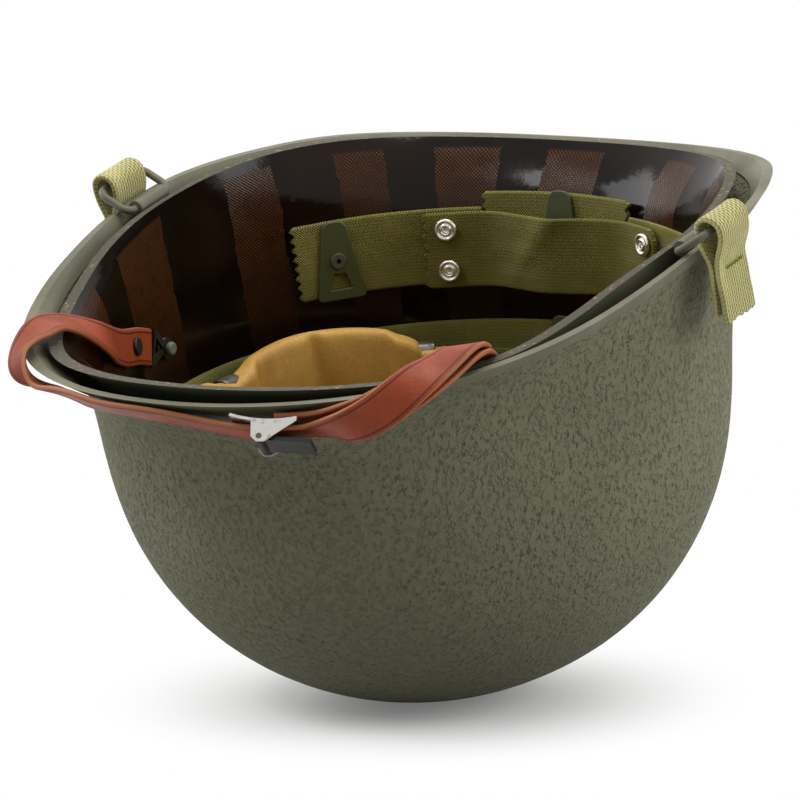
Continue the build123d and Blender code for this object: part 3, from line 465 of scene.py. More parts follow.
node_shades = {
    "steel_shell": shell_paint,
    "rim_band": rim_paint,
    "lug_left": bail_paint,
    "lug_right": bail_paint,
    "bail_left": bail_paint,
    "bail_right": bail_paint,
    "liner_shell": liner_fibre,
    "washer_rivets": blackened_brass,
    "headband_buckle": clip_steel,
    "press_stud_bases": blackened_brass,
    "strap_studs": stud_paint,
    "strap_hooks": black_wire,
    "strap_buttons": black_wire,
    "buckle_frame": buckle_steel,
    "buckle_pin": blackened_brass,
    "buckle_lever": japanned,
}
for name, shade in node_shades.items():
    for place in nodes[name].material_slots:
        place.material = shade.material


# Strips of tape and leather
def natural_spline(run, values):
    """Natural cubic through the values, one for each length along the run."""
    count = len(run)
    step = np.diff(run)
    system = np.zeros((count, count))
    right = np.zeros(values.shape)
    system[0, 0] = 1.0
    system[-1, -1] = 1.0
    for i in range(1, count - 1):
        system[i, i - 1] = step[i - 1]
        system[i, i] = 2 * (step[i - 1] + step[i])
        system[i, i + 1] = step[i]
        right[i] = 6 * ((values[i + 1] - values[i]) / step[i] - (values[i] - values[i - 1]) / step[i - 1])
    bend = np.linalg.solve(system, right)

    def at(s):
        k = np.clip(np.searchsorted(run, s) - 1, 0, count - 2)
        w = step[k][:, None]
        a = (run[k + 1] - s)[:, None]
        b = (s - run[k])[:, None]
        curve = (bend[k] * a**3 + bend[k + 1] * b**3) / (6 * w)
        return curve + (values[k] / w - bend[k] * w / 6) * a + (values[k + 1] / w - bend[k + 1] * w / 6) * b

    return at


def smooth_noise(seed, length, height, width=None):
    """A soft random wave over run and width, never more than the height."""
    rng = np.random.default_rng(seed)
    waves = []
    for _ in range(6):
        along = rng.uniform(0.6, 1.8) / length
        across = rng.uniform(-1.0, 1.0) / (width or length)
        waves.append((along, across, rng.uniform(0, 6.28)))

    def wave(s, u):
        total = 0.0
        for along, across, phase in waves:
            total = total + np.sin(2 * math.pi * (s * along + u * across) + phase)
        return height * total / 6

    return wave


def strip(stations, width, thick, rows, columns, closed=False, ends=None, relief=None, edge=None):
    """Vertices, faces and UVs of a round-edged strip through stations of point and face normal."""
    points = np.array([tuple(p) for p, _ in stations])
    normals = np.array([tuple(n) for _, n in stations])
    if closed:
        points = np.concatenate([points[-4:], points, points[:5]])
        normals = np.concatenate([normals[-4:], normals, normals[:5]])
    run = np.concatenate([[0.0], np.cumsum(np.linalg.norm(np.diff(points, axis=0), axis=1))])
    first, last = (run[4], run[4 + len(stations)]) if closed else (run[0], run[-1])
    way = natural_spline(run, points)
    face = natural_spline(run, normals)
    half = width / 2
    round_share = min(0.5, (edge or thick / 2) / half)
    inner = np.linspace(-1 + round_share, 1 - round_share, columns - 3)
    rim = [-1.0, -1 + 0.3 * round_share]
    across = np.concatenate([rim, inner, [-c for c in reversed(rim)]])
    over = np.clip((np.abs(across) - (1 - round_share)) / round_share, 0, 1)
    body = thick / 2 * np.sqrt(1 - over**2)
    head, tail = ends(across) if ends else (np.zeros(len(across)), np.zeros(len(across)))
    share = np.linspace(0, 1, rows + 1)[:, None]
    s = (first + head)[None, :] + (last - tail - first - head)[None, :] * share
    flat_s = s.ravel()
    spot = way(flat_s)
    near = (last - first) / 4000
    tangent = way(np.clip(flat_s + near, run[0], run[-1])) - way(np.clip(flat_s - near, run[0], run[-1]))
    tangent /= np.linalg.norm(tangent, axis=1)[:, None]
    normal = face(flat_s)
    normal -= (normal * tangent).sum(axis=1)[:, None] * tangent
    normal /= np.linalg.norm(normal, axis=1)[:, None]
    side = np.cross(normal, tangent)
    u = np.broadcast_to(across[None, :], s.shape).ravel()
    lift = relief(flat_s - first, u * half) if relief else np.zeros(len(u))
    high = np.broadcast_to(body[None, :], s.shape).ravel()
    middle = spot + side * (u * half)[:, None]
    front = (middle + normal * (lift + high)[:, None]).reshape(rows + 1, len(across), 3)
    back = (middle + normal * (lift - high)[:, None]).reshape(rows + 1, len(across), 3)
    width_count = len(across)
    ring = 2 * width_count - 2
    vertices = []
    uvs = []
    ring_count = rows if closed else rows + 1
    for i in range(ring_count):
        vertices.extend(front[i])
        vertices.extend(back[i][-2:0:-1])
    order = [*range(width_count), *range(width_count - 2, 0, -1)]

    def at(row, column):
        return s[row, column] - first, across[column] * half

    faces = []
    for i in range(rows):
        low = i * ring
        up = ((i + 1) % ring_count) * ring
        for j in range(ring):
            k = (j + 1) % ring
            faces.append((low + j, low + k, up + k, up + j))
            a, b = order[j], order[k]
            uvs.append((at(i, a), at(i, b), at(i + 1, b), at(i + 1, a)))
    if not closed:
        for i, flip in ((0, True), (rows, False)):
            low = i * ring
            for j in range(width_count - 1):
                b0 = low if j == 0 else low + ring - j
                b1 = low + width_count - 1 if j == width_count - 2 else low + ring - j - 1
                corner = [low + j, low + j + 1]
                corner += [b1] if b1 != low + j + 1 else []
                corner += [b0] if b0 != low + j else []
                spots = [at(i, j), at(i, j + 1)]
                spots += [at(i, j + 1)] if b1 != low + j + 1 else []
                spots += [at(i, j)] if b0 != low + j else []
                if flip:
                    corner.reverse()
                    spots.reverse()
                faces.append(tuple(corner))
                uvs.append(tuple(spots))
    return vertices, faces, uvs


def piece(name, shade, parts, body, slot, *replaced):
    """One object from the given parts, riding on its body."""
    vertices = []
    faces = []
    uvs = []
    for more_vertices, more_faces, more_uvs in parts:
        offset = len(vertices)
        vertices.extend(more_vertices)
        faces.extend(tuple(i + offset for i in face) for face in more_faces)
        uvs.extend(more_uvs)
    mesh = bpy.data.meshes.new(name)
    mesh.from_pydata([tuple(float(c) for c in v) for v in vertices], [], faces)
    layer = mesh.uv_layers.new(name="run")
    flat = [c for face in uvs for corner in face for c in corner]
    layer.data.foreach_set("uv", flat)
    mesh.shade_smooth()
    mesh.materials.append(shade.material)
    obj = put(name, mesh)
    mesh.validate()
    mesh.update()
    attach(obj, body)
    if replaced:
        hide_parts(*replaced)
    return obj


def pinked(teeth, depth, at_head, at_tail, ragged=0.0):
    """Zigzag cut for the ends of a strip."""
    rng = np.random.default_rng(teeth)

    def ends(across):
        saw = np.abs(((across + 1) / 2 * teeth) % 1.0 - 0.5) * 2 * depth
        saw = saw + rng.uniform(0, ragged, len(across)) if ragged else saw
        none = np.zeros(len(across))
        return (saw if at_head else none), (saw if at_tail else none)

    return ends


def rounded(radius, at_head, at_tail, half):
    """Rounded corners for the ends of a strip."""

    def ends(across):
        over = np.clip((np.abs(across) * half - (half - radius)) / radius, 0, 1)
        pull = radius * (1 - np.sqrt(1 - over**2))
        none = np.zeros(len(across))
        return (pull if at_head else none), (pull if at_tail else none)

    return ends


# The liner's inner wall, found by rays from the helmet's axis
FARTHEST_WALL = 0.2
liner_mesh = nodes["liner_shell"].data
liner_tree = BVHTree.FromPolygons(
    [v.co.copy() for v in liner_mesh.vertices],
    [tuple(p.vertices) for p in liner_mesh.polygons],
)


def wall_spot(angle, height):
    """Point on the wall, its reach taken from a ray a little aside where the first slips through a bore."""
    start = helm(0, 0, height)
    ahead = math.radians(angle)
    way = helm_way(math.sin(ahead), -math.cos(ahead), 0)
    for shift in (0.0, 2.5, -2.5, 5.0):
        a = math.radians(angle + shift)
        spot, _, _, reach = liner_tree.ray_cast(start, helm_way(math.sin(a), -math.cos(a), 0))
        if spot is not None and reach < FARTHEST_WALL:
            return start + way * reach
    return start + way * 0.1


def wall(angle, height, stand):
    """Point standing off the liner's inner wall in millimetres, and the direction into the bowl."""
    east = wall_spot(angle + 3.0, height) - wall_spot(angle - 3.0, height)
    up = wall_spot(angle, height + 4.0) - wall_spot(angle, height - 4.0)
    face = east.cross(up).normalized()
    if face.dot(helm(0, 0, height) - wall_spot(angle, height)) < 0:
        face = -face
    return wall_spot(angle, height) + face * stand / 1000, face


TAPE = 0.0016
FLAT_STAND = 1.15
BAND_HEIGHT = 92.0

# Suspension band and crown straps
band_stations = [wall(angle, BAND_HEIGHT, FLAT_STAND) for angle in range(-180, 180, 8)]
band = strip(band_stations, 0.025, TAPE, 220, 14, closed=True, relief=smooth_noise(3, 0.05, 0.0003))
piece("suspension_band_tape", olive_webbing, [band], "liner", "olive_webbing", "suspension_band")

LACE_RING = 22.5
LACE_HEIGHT = 40.0
LOOP_RADIUS = 2.6
fingers = []
lace_corners = []
for angle in (-120, -60, 0, 60, 120, 180):
    stations = [wall(angle, z, 3.5) for z in (101.0, 88.0, 75.0, 62.0)]
    foot = HELMET.inverted() @ stations[-1][0] * 1000
    out = Vector((foot.x, foot.y, 0)).normalized()
    polar = math.degrees(math.atan2(out.x, -out.y))
    lace_corners.append(polar)

    def on_finger(reach, z, lean_in, rise):
        spot = out * reach
        return helm(spot.x, spot.y, z), helm_way(out.x * lean_in, out.y * lean_in, rise)

    far = math.hypot(foot.x, foot.y)
    stations.append(on_finger((far + LACE_RING) / 2 + 2, (foot.z + LACE_HEIGHT) / 2 - 6, -0.6, 1.0))
    stations.append(on_finger(LACE_RING + 6, LACE_HEIGHT + 2.0, -0.1, 1.0))
    for tip in (70, 20, -30, -80):
        a = math.radians(tip)
        stations.append(
            on_finger(
                LACE_RING - LOOP_RADIUS * math.cos(a),
                LACE_HEIGHT + LOOP_RADIUS * math.sin(a),
                -math.cos(a),
                math.sin(a),
            )
        )
    stations.append(on_finger(LACE_RING + 4, LACE_HEIGHT - 1.6, 0.3, -1.0))
    stations.append(on_finger(LACE_RING + 12, LACE_HEIGHT - 1.4, 0.3, -1.0))
    fingers.append(
        strip(
            stations,
            0.019,
            TAPE,
            120,
            12,
            relief=smooth_noise(int(angle) + 300, 0.03, 0.0004),
            ends=pinked(6, 0.0012, True, True),
        )
    )
piece("crown_strap_tapes", olive_webbing, fingers, "liner", "olive_webbing", "crown_straps")

# Lace through the loops of the crown straps
lace_curve = bpy.data.curves.new("crown_lace_cord", "CURVE")
lace_curve.dimensions = "3D"
lace_curve.bevel_depth = 0.0014
lace_curve.bevel_resolution = 3
lace_curve.resolution_u = 8
turns = sorted(lace_corners)
lace_spline = lace_curve.splines.new("NURBS")
lace_points = []
for i, first in enumerate(turns):
    second = turns[i + 1] if i + 1 < len(turns) else turns[0] + 360
    for share in (-0.14, 0.14, 0.36, 0.64):
        a = math.radians(first + (second - first) * share)
        bow = LACE_RING / math.cos(math.radians((second - first) * min(abs(share), abs(1 - share))))
        sag = 1.2 if 0.2 < share < 0.8 else 0.0
        lace_points.append(helm(bow * 0.99 * math.sin(a), -bow * 0.99 * math.cos(a), LACE_HEIGHT - sag))
lace_spline.points.add(len(lace_points) - 1)
for point, spot in zip(lace_spline.points, lace_points):
    point.co = (*spot, 1.0)
lace_spline.order_u = 3
lace_spline.use_cyclic_u = True
lace_curve.materials.append(lace_cord.material)
lace = put("crown_lace_cord", lace_curve)
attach(lace, "liner")
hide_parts("crown_lace")


# Headband and its leather facing
def headband_spot(angle, out, rise):
    """Point of the headband by its ellipse angle, out from its face and up from its top edge."""
    a = math.radians(angle)
    reach = 101.0 if math.cos(a) > 0 else 80.0
    way_out = Vector((reach * math.sin(a), -86.0 * math.cos(a), 0)).normalized()
    flat = Vector((86.0 * math.sin(a), -reach * math.cos(a), rise)) + way_out * out
    pitch = math.radians(-5.0)
    lean_y = flat.y * math.cos(pitch) - flat.z * math.sin(pitch)
    lean_z = flat.y * math.sin(pitch) + flat.z * math.cos(pitch)
    return helm(flat.x, lean_y, lean_z + 104.0)


headband_stations = []
for angle in range(-180, 180, 8):
    inner = headband_spot(angle, -1.0, -15.0)
    outer = headband_spot(angle, 0.0, -15.0)
    headband_stations.append((headband_spot(angle, -0.75, -15.0), (inner - outer).normalized()))
headband_relief = smooth_noise(11, 0.04, 0.0004)
headband = strip(headband_stations, 0.030, 0.0015, 260, 16, closed=True, relief=headband_relief)
piece("headband_tape", headband_webbing, [headband], "liner", "headband_webbing", "headband")

LEATHER_END = 151.8
SPANS = (-151.8, -145.0, -88.0, -30.0, 30.0, 88.0, 145.0, 151.8)
HUMPS = (0.0, 9.5, 4.0, 2.5, 3.5, 4.5, 0.0)
BULGES = (0.3, 5.0, 3.2, 2.4, 3.0, 3.6, 0.3)
CREASES = (0.5, 0.5, 0.4, 0.6, 0.45, 0.5, 0.5)
CLIP_HALF_TURN = 5.2
leather_rows = 520
profile = [(-2.1, -30.0 + 2.6 * i) for i in range(12)]
for a in (0.5, 1.1, 1.7, 2.4, 3.1):
    profile.append((-2.1 + 0.35 * (1 - math.cos(a)) * 4, 0.1 + 0.75 * math.sin(a)))
profile += [(0.75, -1.4), (0.8, -3.2)]
leather_vertices = []
for i in range(leather_rows + 1):
    angle = -LEATHER_END + 2 * LEATHER_END * i / leather_rows
    part = max(k for k in range(len(SPANS) - 1) if SPANS[k] <= angle + 1e-6)
    q = (angle - SPANS[part]) / (SPANS[part + 1] - SPANS[part])
    arch = math.sin(math.pi * q) ** (0.4 if part == 1 and q < 0.5 else 0.8)
    to_clip = min(abs(angle - clip) for clip in SPANS[1:-1])
    over_clip = 1 - min(1.0, max(0.0, (to_clip - CLIP_HALF_TURN) / 3.5))
    over_clip = over_clip * over_clip * (3 - 2 * over_clip)
    for out, rise in profile:
        low = min(1.0, max(0.0, (rise + 30) / 30))
        hump = HUMPS[part] * arch * low**3 + (0.5 - 1.1 * over_clip if low > 0.9 else 0.0)
        spread = 0.035 + 0.12 * (1 - low)
        crease = math.exp(-(((q - CREASES[part]) / spread) ** 2))
        bulge = BULGES[part] * arch * (0.35 + 0.65 * math.sin(math.pi * min(1.0, low * 0.85 + 0.1)))
        bulge -= BULGES[part] * 0.9 * crease * arch * (1.0 - 0.35 * low)
        pucker = 0.45 * math.sin(angle * 2.3 + 4 * low) * (1 - arch) * (1 if HUMPS[part] else 0.4)
        cover = over_clip * 3.0 * min(1.0, low * 2.5)
        if out > -1.4:
            bulge, pucker, cover = 0.0, 0.0, 0.0
        inward = max(0.0, bulge) + cover
        spot = headband_spot(angle, out - inward + 0.4 * pucker - (0.4 if out < 0 else 0.0), rise + hump)
        leather_vertices.append(spot)
leather_faces = []
leather_uvs = []
count = len(profile)
for i in range(leather_rows):
    for j in range(count - 1):
        a = i * count + j
        leather_faces.append((a, a + count, a + count + 1, a + 1))
        u0, u1 = j * 0.0026, (j + 1) * 0.0026
        s0, s1 = i * 0.001, (i + 1) * 0.001
        leather_uvs.append(((s0, u0), (s1, u0), (s1, u1), (s0, u1)))
leather = piece(
    "headband_leather_facing",
    tan_leather,
    [(leather_vertices, leather_faces, leather_uvs)],
    "liner",
    "tan_leather",
    "headband_leather",
)
solid = leather.modifiers.new("hide", "SOLIDIFY")
solid.thickness = 0.0011
solid.offset = 0.0
soft = leather.modifiers.new("soft", "SUBSURF")
soft.levels = 1
soft.render_levels = 1


def stitches(name, shade, spots, body, slot_name, thickness=0.00035):
    """Short raised stitches, each from one point to the next with its face direction."""
    vertices = []
    faces = []
    uvs = []
    for first, second, out in spots:
        along = second - first
        side = along.cross(out).normalized()
        for k in range(5):
            share = k / 4
            rise = math.sin(math.pi * share)
            middle = first + along * share + out * (0.0001 + thickness * 0.9 * rise)
            swell = thickness * (0.45 + 0.55 * rise)
            for j in range(6):
                a = 2 * math.pi * j / 6
                vertices.append(middle + side * swell * math.cos(a) + out * swell * math.sin(a))
        base = len(vertices) - 30
        for k in range(4):
            for j in range(6):
                low = base + 6 * k
                faces.append((low + j, low + (j + 1) % 6, low + 6 + (j + 1) % 6, low + 6 + j))
                uvs.append(((0, 0), (0, 0.0001), (0.0001, 0.0001), (0.0001, 0)))
    return piece(name, shade, [(vertices, faces, uvs)], body, slot_name)


leather_seams = []
for side in (-1, 1):
    for i in range(8):
        low_rise = -3.0 - 3.3 * i
        spots = [headband_spot(side * 150.2, -3.2, r) for r in (low_rise, low_rise - 2.1)]
        face_way = (headband_spot(side * 150.2, -4.2, low_rise) - spots[0]).normalized()
        leather_seams.append((spots[0], spots[1], face_way))
stitches("leather_end_stitches", black_thread, leather_seams, "liner", "tan_leather")


# Nape tabs and nape band
def tab_stations(start, stop, height, stand, count=9):
    return [wall(start + (stop - start) * i / (count - 1), height, stand) for i in range(count)]


NAPE = 131.5
NAPE_WIDTH = 0.028
TABS = (
    ("left", -118.5, -160.5, 1.0, False, 0.0003, 21),
    ("right", 118.5, 160.5, 1.0, False, 0.0003, 22),
    ("centre", -160.5, -199.5, 6.5, True, 0.0006, 23),
)
for name, start, stop, rise, both_pinked, ragged, seed in TABS:
    tab = strip(
        tab_stations(start, stop, NAPE + rise, FLAT_STAND),
        NAPE_WIDTH,
        TAPE,
        90,
        34,
        ends=pinked(8, 0.0018, True, both_pinked, ragged),
        relief=smooth_noise(seed, 0.03, 0.0003),
    )
    piece("nape_tab_%s_tape" % name, olive_webbing, [tab], "liner", "olive_webbing", "nape_tab_" + name)

nape_stations = []
for angle in (-146.5, -153.5, -161.0, -170.5, -180.0, -189.5, -199.0, -205.0, -211.0):
    off = max(0.0, 1 - abs(abs(angle) - 180) / 19.0)
    nape_stations.append(wall(angle, NAPE, 4.3 + 9.0 * off * off * (3 - 2 * off)))


def nape_ends(across):
    teeth, _ = pinked(8, 0.0028, True, False, 0.0002)(across)
    _, curve = rounded(0.006, False, True, NAPE_WIDTH / 2)(across)
    return teeth, curve


def nape_wrinkle(s, u):
    total = smooth_noise(31, 0.035, 0.0009, 0.05)(s, u)
    slack = np.clip(np.sin(math.pi * np.clip((s - 0.024) / 0.06, 0, 1)), 0, 1)
    fold = 0.0012 * np.exp(-(((s - 0.045 - 0.9 * u) / 0.006) ** 2)) * slack
    held = np.clip((s - 0.018) / 0.01, 0, 1) * np.clip((0.1 - s) / 0.01, 0, 1)
    return (total + fold) * held


nape = strip(nape_stations, NAPE_WIDTH, TAPE, 200, 34, ends=nape_ends, relief=nape_wrinkle)
piece("nape_band_tape", nape_webbing_shaded, [nape], "liner", "olive_webbing", "nape_band")


# A-shaped washers with raised edges, their apex towards the rim
def islands(node):
    """Middle of each separate solid of a node."""
    mesh = nodes[node].data
    owner = list(range(len(mesh.vertices)))

    def root(i):
        while owner[i] != i:
            owner[i] = owner[owner[i]]
            i = owner[i]
        return i

    places = {}
    for i, vertex in enumerate(mesh.vertices):
        key = tuple(round(c, 5) for c in vertex.co)
        owner[i] = root(places.setdefault(key, i))
    for edge in mesh.edges:
        a, b = root(edge.vertices[0]), root(edge.vertices[1])
        owner[a] = b
    groups = {}
    for i, vertex in enumerate(mesh.vertices):
        groups.setdefault(root(i), []).append(vertex.co)
    middles = []
    for group in groups.values():
        low = Vector([min(c[k] for c in group) for k in range(3)])
        high = Vector([max(c[k] for c in group) for k in range(3)])
        middles.append((low + high) / 2)
    return middles


def on_wall(spot):
    """Matrix at a point near the wall: z into the bowl and y up towards the rim."""
    inside = HELMET.inverted() @ spot * 1000
    angle = math.degrees(math.atan2(inside.x, -inside.y))
    foot, face = wall(angle, inside.z, 0.0)
    up = (AXIS - face * AXIS.dot(face)).normalized()
    east = up.cross(face)
    turn = Matrix((east, up, face)).transposed().to_4x4()
    return Matrix.Translation(foot) @ turn


def loop(spline_points, curve):
    spline = curve.splines.new("POLY")
    spline.points.add(len(spline_points) - 1)
    for point, (x, y) in zip(spline.points, spline_points):
        point.co = (x / 1000, y / 1000, 0, 1)
    spline.use_cyclic_u = True


def rounded_corners(corners, radii, steps=6):
    """Corners of a flat outline, each turned on its own radius."""
    outline = []
    for i, corner in enumerate(corners):
        here = Vector(corner)
        before = (Vector(corners[i - 1]) - here).normalized()
        after = (Vector(corners[(i + 1) % len(corners)]) - here).normalized()
        half = before.angle(after) / 2
        reach = radii[i] / math.tan(half)
        centre = here + (before + after).normalized() * radii[i] / math.sin(half)
        first = here + before * reach - centre
        second = here + after * reach - centre
        sweep = first.angle_signed(second)
        for k in range(steps + 1):
            a = -sweep * k / steps
            turned = Vector(
                (first.x * math.cos(a) - first.y * math.sin(a), first.x * math.sin(a) + first.y * math.cos(a))
            )
            outline.append(tuple(centre + turned))
    return outline


WASHER_OUTLINE = ((-8.9, -14.2), (8.9, -14.2), (3.9, 14.1), (-3.9, 14.1))
WASHER_WINDOW = ((-4.7, -11.0), (4.7, -11.0), (2.3, -4.6), (-2.3, -4.6))
RIVET_HOLE = 2.1


def washer_mesh():
    """Flat blank about its rivet hole, its apex along y."""
    curve = bpy.data.curves.new("washer", "CURVE")
    curve.dimensions = "2D"
    curve.fill_mode = "BOTH"
    curve.extrude = 0.0003
    curve.bevel_depth = 0.0004
    curve.bevel_resolution = 2
    loop(rounded_corners(WASHER_OUTLINE, (1.3, 1.3, 3.2, 3.2)), curve)
    loop(rounded_corners(WASHER_WINDOW, (0.8, 0.8, 0.8, 0.8)), curve)
    around = np.linspace(0, 2 * math.pi, 25)[:-1]
    loop([(RIVET_HOLE * math.cos(a), RIVET_HOLE * math.sin(a)) for a in around], curve)
    obj = put("washer", curve)
    mesh = bpy.data.meshes.new_from_object(obj.evaluated_get(bpy.context.evaluated_depsgraph_get()))
    bpy.data.objects.remove(obj)
    bpy.data.curves.remove(curve)
    return mesh


def copies(mesh, places):
    """Parts that repeat a mesh at each place."""
    parts = []
    for place in places:
        vertices = [place @ v.co for v in mesh.vertices]
        faces = [tuple(p.vertices) for p in mesh.polygons]
        uvs = [tuple((v * 0.0001, 0.0) for v in range(len(face))) for face in faces]
        parts.append((vertices, faces, uvs))
    return parts


BETWEEN_BANDS = 0.115
NAPE_WASHER_STAND = 0.0031
BAND_WASHER_STAND = 0.0059
washer_blank = washer_mesh()
rivet_places = [on_wall(spot) for spot in islands("washer_rivets")]
nape_side = []
suspension_side = []
for place in rivet_places:
    height = (HELMET.inverted() @ place.translation).z
    if height > BETWEEN_BANDS:
        nape_side.append(place @ Matrix.Translation((0, 0, NAPE_WASHER_STAND)))
    else:
        suspension_side.append(place @ Matrix.Translation((0, 0, BAND_WASHER_STAND)))
piece(
    "nape_washer_plates",
    washer_paint,
    copies(washer_blank, nape_side),
    "liner",
    "washer_paint",
    "nape_washers",
)
piece(
    "suspension_washer_plates",
    washer_paint,
    copies(washer_blank, suspension_side),
    "liner",
    "washer_paint",
    "suspension_washers",
)


# Press-studs, turned with a rolled rim and a raised ring round the hole
def turned(profile, sides=40):
    """Part turned about z from radii and heights."""
    mesh = bpy.data.meshes.new("turned")
    vertices = []
    faces = []
    for radius, height in profile:
        for k in range(sides):
            a = 2 * math.pi * k / sides
            vertices.append((radius * math.cos(a) / 1000, radius * math.sin(a) / 1000, height / 1000))
    for i in range(len(profile) - 1):
        for k in range(sides):
            n = (k + 1) % sides
            faces.append((i * sides + k, i * sides + n, (i + 1) * sides + n, (i + 1) * sides + k))
    faces.append(tuple(range((len(profile) - 1) * sides, len(profile) * sides)))
    mesh.from_pydata(vertices, [], faces)
    return mesh


stud_profile = [
    (1.6, -1.0), (1.6, 0.0), (3.6, 0.0), (4.1, 0.25), (4.2, 0.7), (4.05, 1.15), (3.7, 1.42),
    (3.3, 1.5), (2.95, 1.36), (2.75, 1.05), (2.6, 0.95), (2.35, 1.0), (2.15, 1.3), (1.95, 1.5),
    (1.7, 1.55), (1.45, 1.45), (1.3, 1.2), (1.2, 0.8), (1.15, 0.3), (0.6, 0.25),
]
stud_places = []
for spot in islands("press_studs"):
    place = on_wall(spot)
    lift = (spot - place.translation).dot(place.to_3x3() @ Vector((0, 0, 1)))
    stud_places.append(place @ Matrix.Translation((0, 0, lift)))
stud_mesh = turned(stud_profile)
piece("press_stud_caps", nickel, copies(stud_mesh, stud_places), "liner", "nickel", "press_studs")

# Headband clips: folded over the band's top and sloping to the suspension band
clip_parts = []
for angle in (30.0, 88.0, 145.0, -145.0, -88.0, -30.0):
    top = headband_spot(angle, 0.0, 0.0)
    way_out = (headband_spot(angle, 1.0, 0.0) - top).normalized()
    _, _, _, room = liner_tree.ray_cast(top, way_out)
    gap = (room or 0.018) * 1000 - 3.0
    path = [(-3.75, -9.0), (-3.75, -4.5), (-3.7, 0.3), (-3.0, 1.8), (-1.0, 2.2), (1.0, 2.1), (2.6, 0.9)]
    path += [(0.35 * gap + 2.0, -1.6), (0.7 * gap + 1.0, -4.2), (gap - 0.6, -5.8)]
    path += [(gap + 0.2, -7.6), (gap + 0.1, -9.6)]
    stations = []
    for k, (out, rise) in enumerate(path):
        a = path[max(0, k - 1)]
        b = path[min(len(path) - 1, k + 1)]
        here = headband_spot(angle, out, rise)
        normal = headband_spot(angle, out + (a[1] - b[1]), rise + (b[0] - a[0])) - here
        stations.append((here, normal.normalized()))
    clip_parts.append(strip(stations, 0.0115, 0.0008, 60, 10, ends=rounded(0.002, True, True, 0.00575)))
piece("headband_clip_plates", clip_steel, clip_parts, "liner", "clip_steel", "headband_clips")


# Webbing ends rolled round the bails' bars
bail = Matrix.Translation(Vector((115.0, 2.4, 169.66))) @ Matrix.Rotation(math.radians(5.0), 4, "X")
BAR_OUT = 12.124
BAR_UP = 7.0


def webbing_end(side):
    """Stations from the outer end over the bar to the inner end."""

    def spot(x, z, normal_x, normal_z):
        place = bail @ Vector((BAR_OUT + x, 0, BAR_UP + z))
        way_out = bail.to_3x3() @ Vector((normal_x, 0, normal_z))
        return helm(side * place.x, place.y, place.z), helm_way(side * way_out.x, way_out.y, way_out.z)

    path = [(2.0, -33.5, 1, 0.0), (1.7, -27.0, 1, 0.02), (1.25, -18.0, 1, 0.0)]
    path += [(1.4, -12.0, 1, -0.1), (3.3, -6.5, 0.95, -0.3)]
    for tip in (-12, 30, 70, 110, 150, 192):
        a = math.radians(tip)
        path.append((4.5 * math.cos(a), 4.5 * math.sin(a), math.cos(a), math.sin(a)))
    path += [(-3.3, -6.5, -0.95, -0.3), (-1.4, -12.0, -1, -0.1), (-1.25, -18.0, -1, 0.0)]
    path += [(-1.5, -26.0, -1, 0.0), (-1.6, -31.0, -1, 0.0)]
    return [spot(*place) for place in path]


def frayed(across):
    rng = np.random.default_rng(5)
    return rng.uniform(0, 0.0011, len(across)), rng.uniform(0, 0.0011, len(across))


for side, name in ((1, "right"), (-1, "left")):
    rolled = strip(
        webbing_end(side), 0.019, 0.002, 170, 22, ends=frayed, relief=smooth_noise(40 + side, 0.02, 0.00025)
    )
    body = "webbing_" + name
    piece(body + "_tape", khaki_webbing, [rolled], body, "khaki_webbing", "webbing_end_" + name)

for side, name in ((1, "right"), (-1, "left")):
    tack = []
    for i in range(11):
        across = -5.0 + 1.0 * i
        drop = -14.2 - 0.45 * (i % 2)
        ends = []
        for end in (0.0, 1.15):
            place = bail @ Vector((BAR_OUT + 2.42, across + end, BAR_UP + drop + 0.45 * end))
            ends.append(helm(side * place.x, place.y, place.z))
        out_way = bail.to_3x3() @ Vector((1, 0, 0))
        tack.append((ends[0], ends[1], helm_way(side * out_way.x, out_way.y, out_way.z)))
    stitches("webbing_%s_bar_tack" % name, green_thread, tack, "webbing_" + name, "khaki_webbing", 0.0003)

# Chin strap, along the routes of its solids and a little lower on the rim
INSIDE_RUN = (
    ((-0.0994, -0.0256, 0.1199), (0.975, 0.197, 0.107)),
    ((-0.0976, -0.0339, 0.1216), (0.959, 0.255, 0.122)),
    ((-0.0933, -0.0479, 0.1232), (0.923, 0.357, 0.147)),
    ((-0.0877, -0.0620, 0.1269), (0.875, 0.422, 0.236)),
    ((-0.0810, -0.0747, 0.1309), (0.815, 0.404, 0.415)),
)
LONG_ROUTE = INSIDE_RUN + (
    ((-0.0828, -0.1046, 0.1400), (0.194, 0.075, 0.978)),
    ((-0.0809, -0.1142, 0.1380), (-0.020, -0.198, 0.980)),
    ((-0.0789, -0.1226, 0.1352), (-0.313, -0.613, 0.725)),
    ((-0.0749, -0.1303, 0.1303), (-0.483, -0.868, 0.113)),
    ((-0.0647, -0.1329, 0.1251), (-0.322, -0.296, -0.899)),
    ((-0.0483, -0.1395, 0.1234), (-0.250, -0.357, -0.900)),
    ((-0.0273, -0.1458, 0.1220), (-0.140, -0.410, -0.901)),
    ((-0.0049, -0.1484, 0.1212), (-0.022, -0.437, -0.899)),
    ((0.0186, -0.1466, 0.1190), (0.096, -0.438, -0.894)),
    ((0.0411, -0.1422, 0.1177), (0.307, -0.345, -0.887)),
    ((0.0518, -0.1367, 0.1187), (0.163, -0.341, -0.926)),
    ((0.0642, -0.1377, 0.1207), (0.104, -0.739, -0.665)),
    ((0.0771, -0.1337, 0.1275), (0.626, -0.775, 0.082)),
    ((0.0842, -0.1250, 0.1356), (0.436, -0.692, 0.576)),
    ((0.0866, -0.1134, 0.1406), (0.124, -0.379, 0.917)),
    ((0.0862, -0.1004, 0.1438), (-0.165, 0.050, 0.976)),
    ((0.0824, -0.0888, 0.1403), (-0.450, 0.300, 0.840)),
)
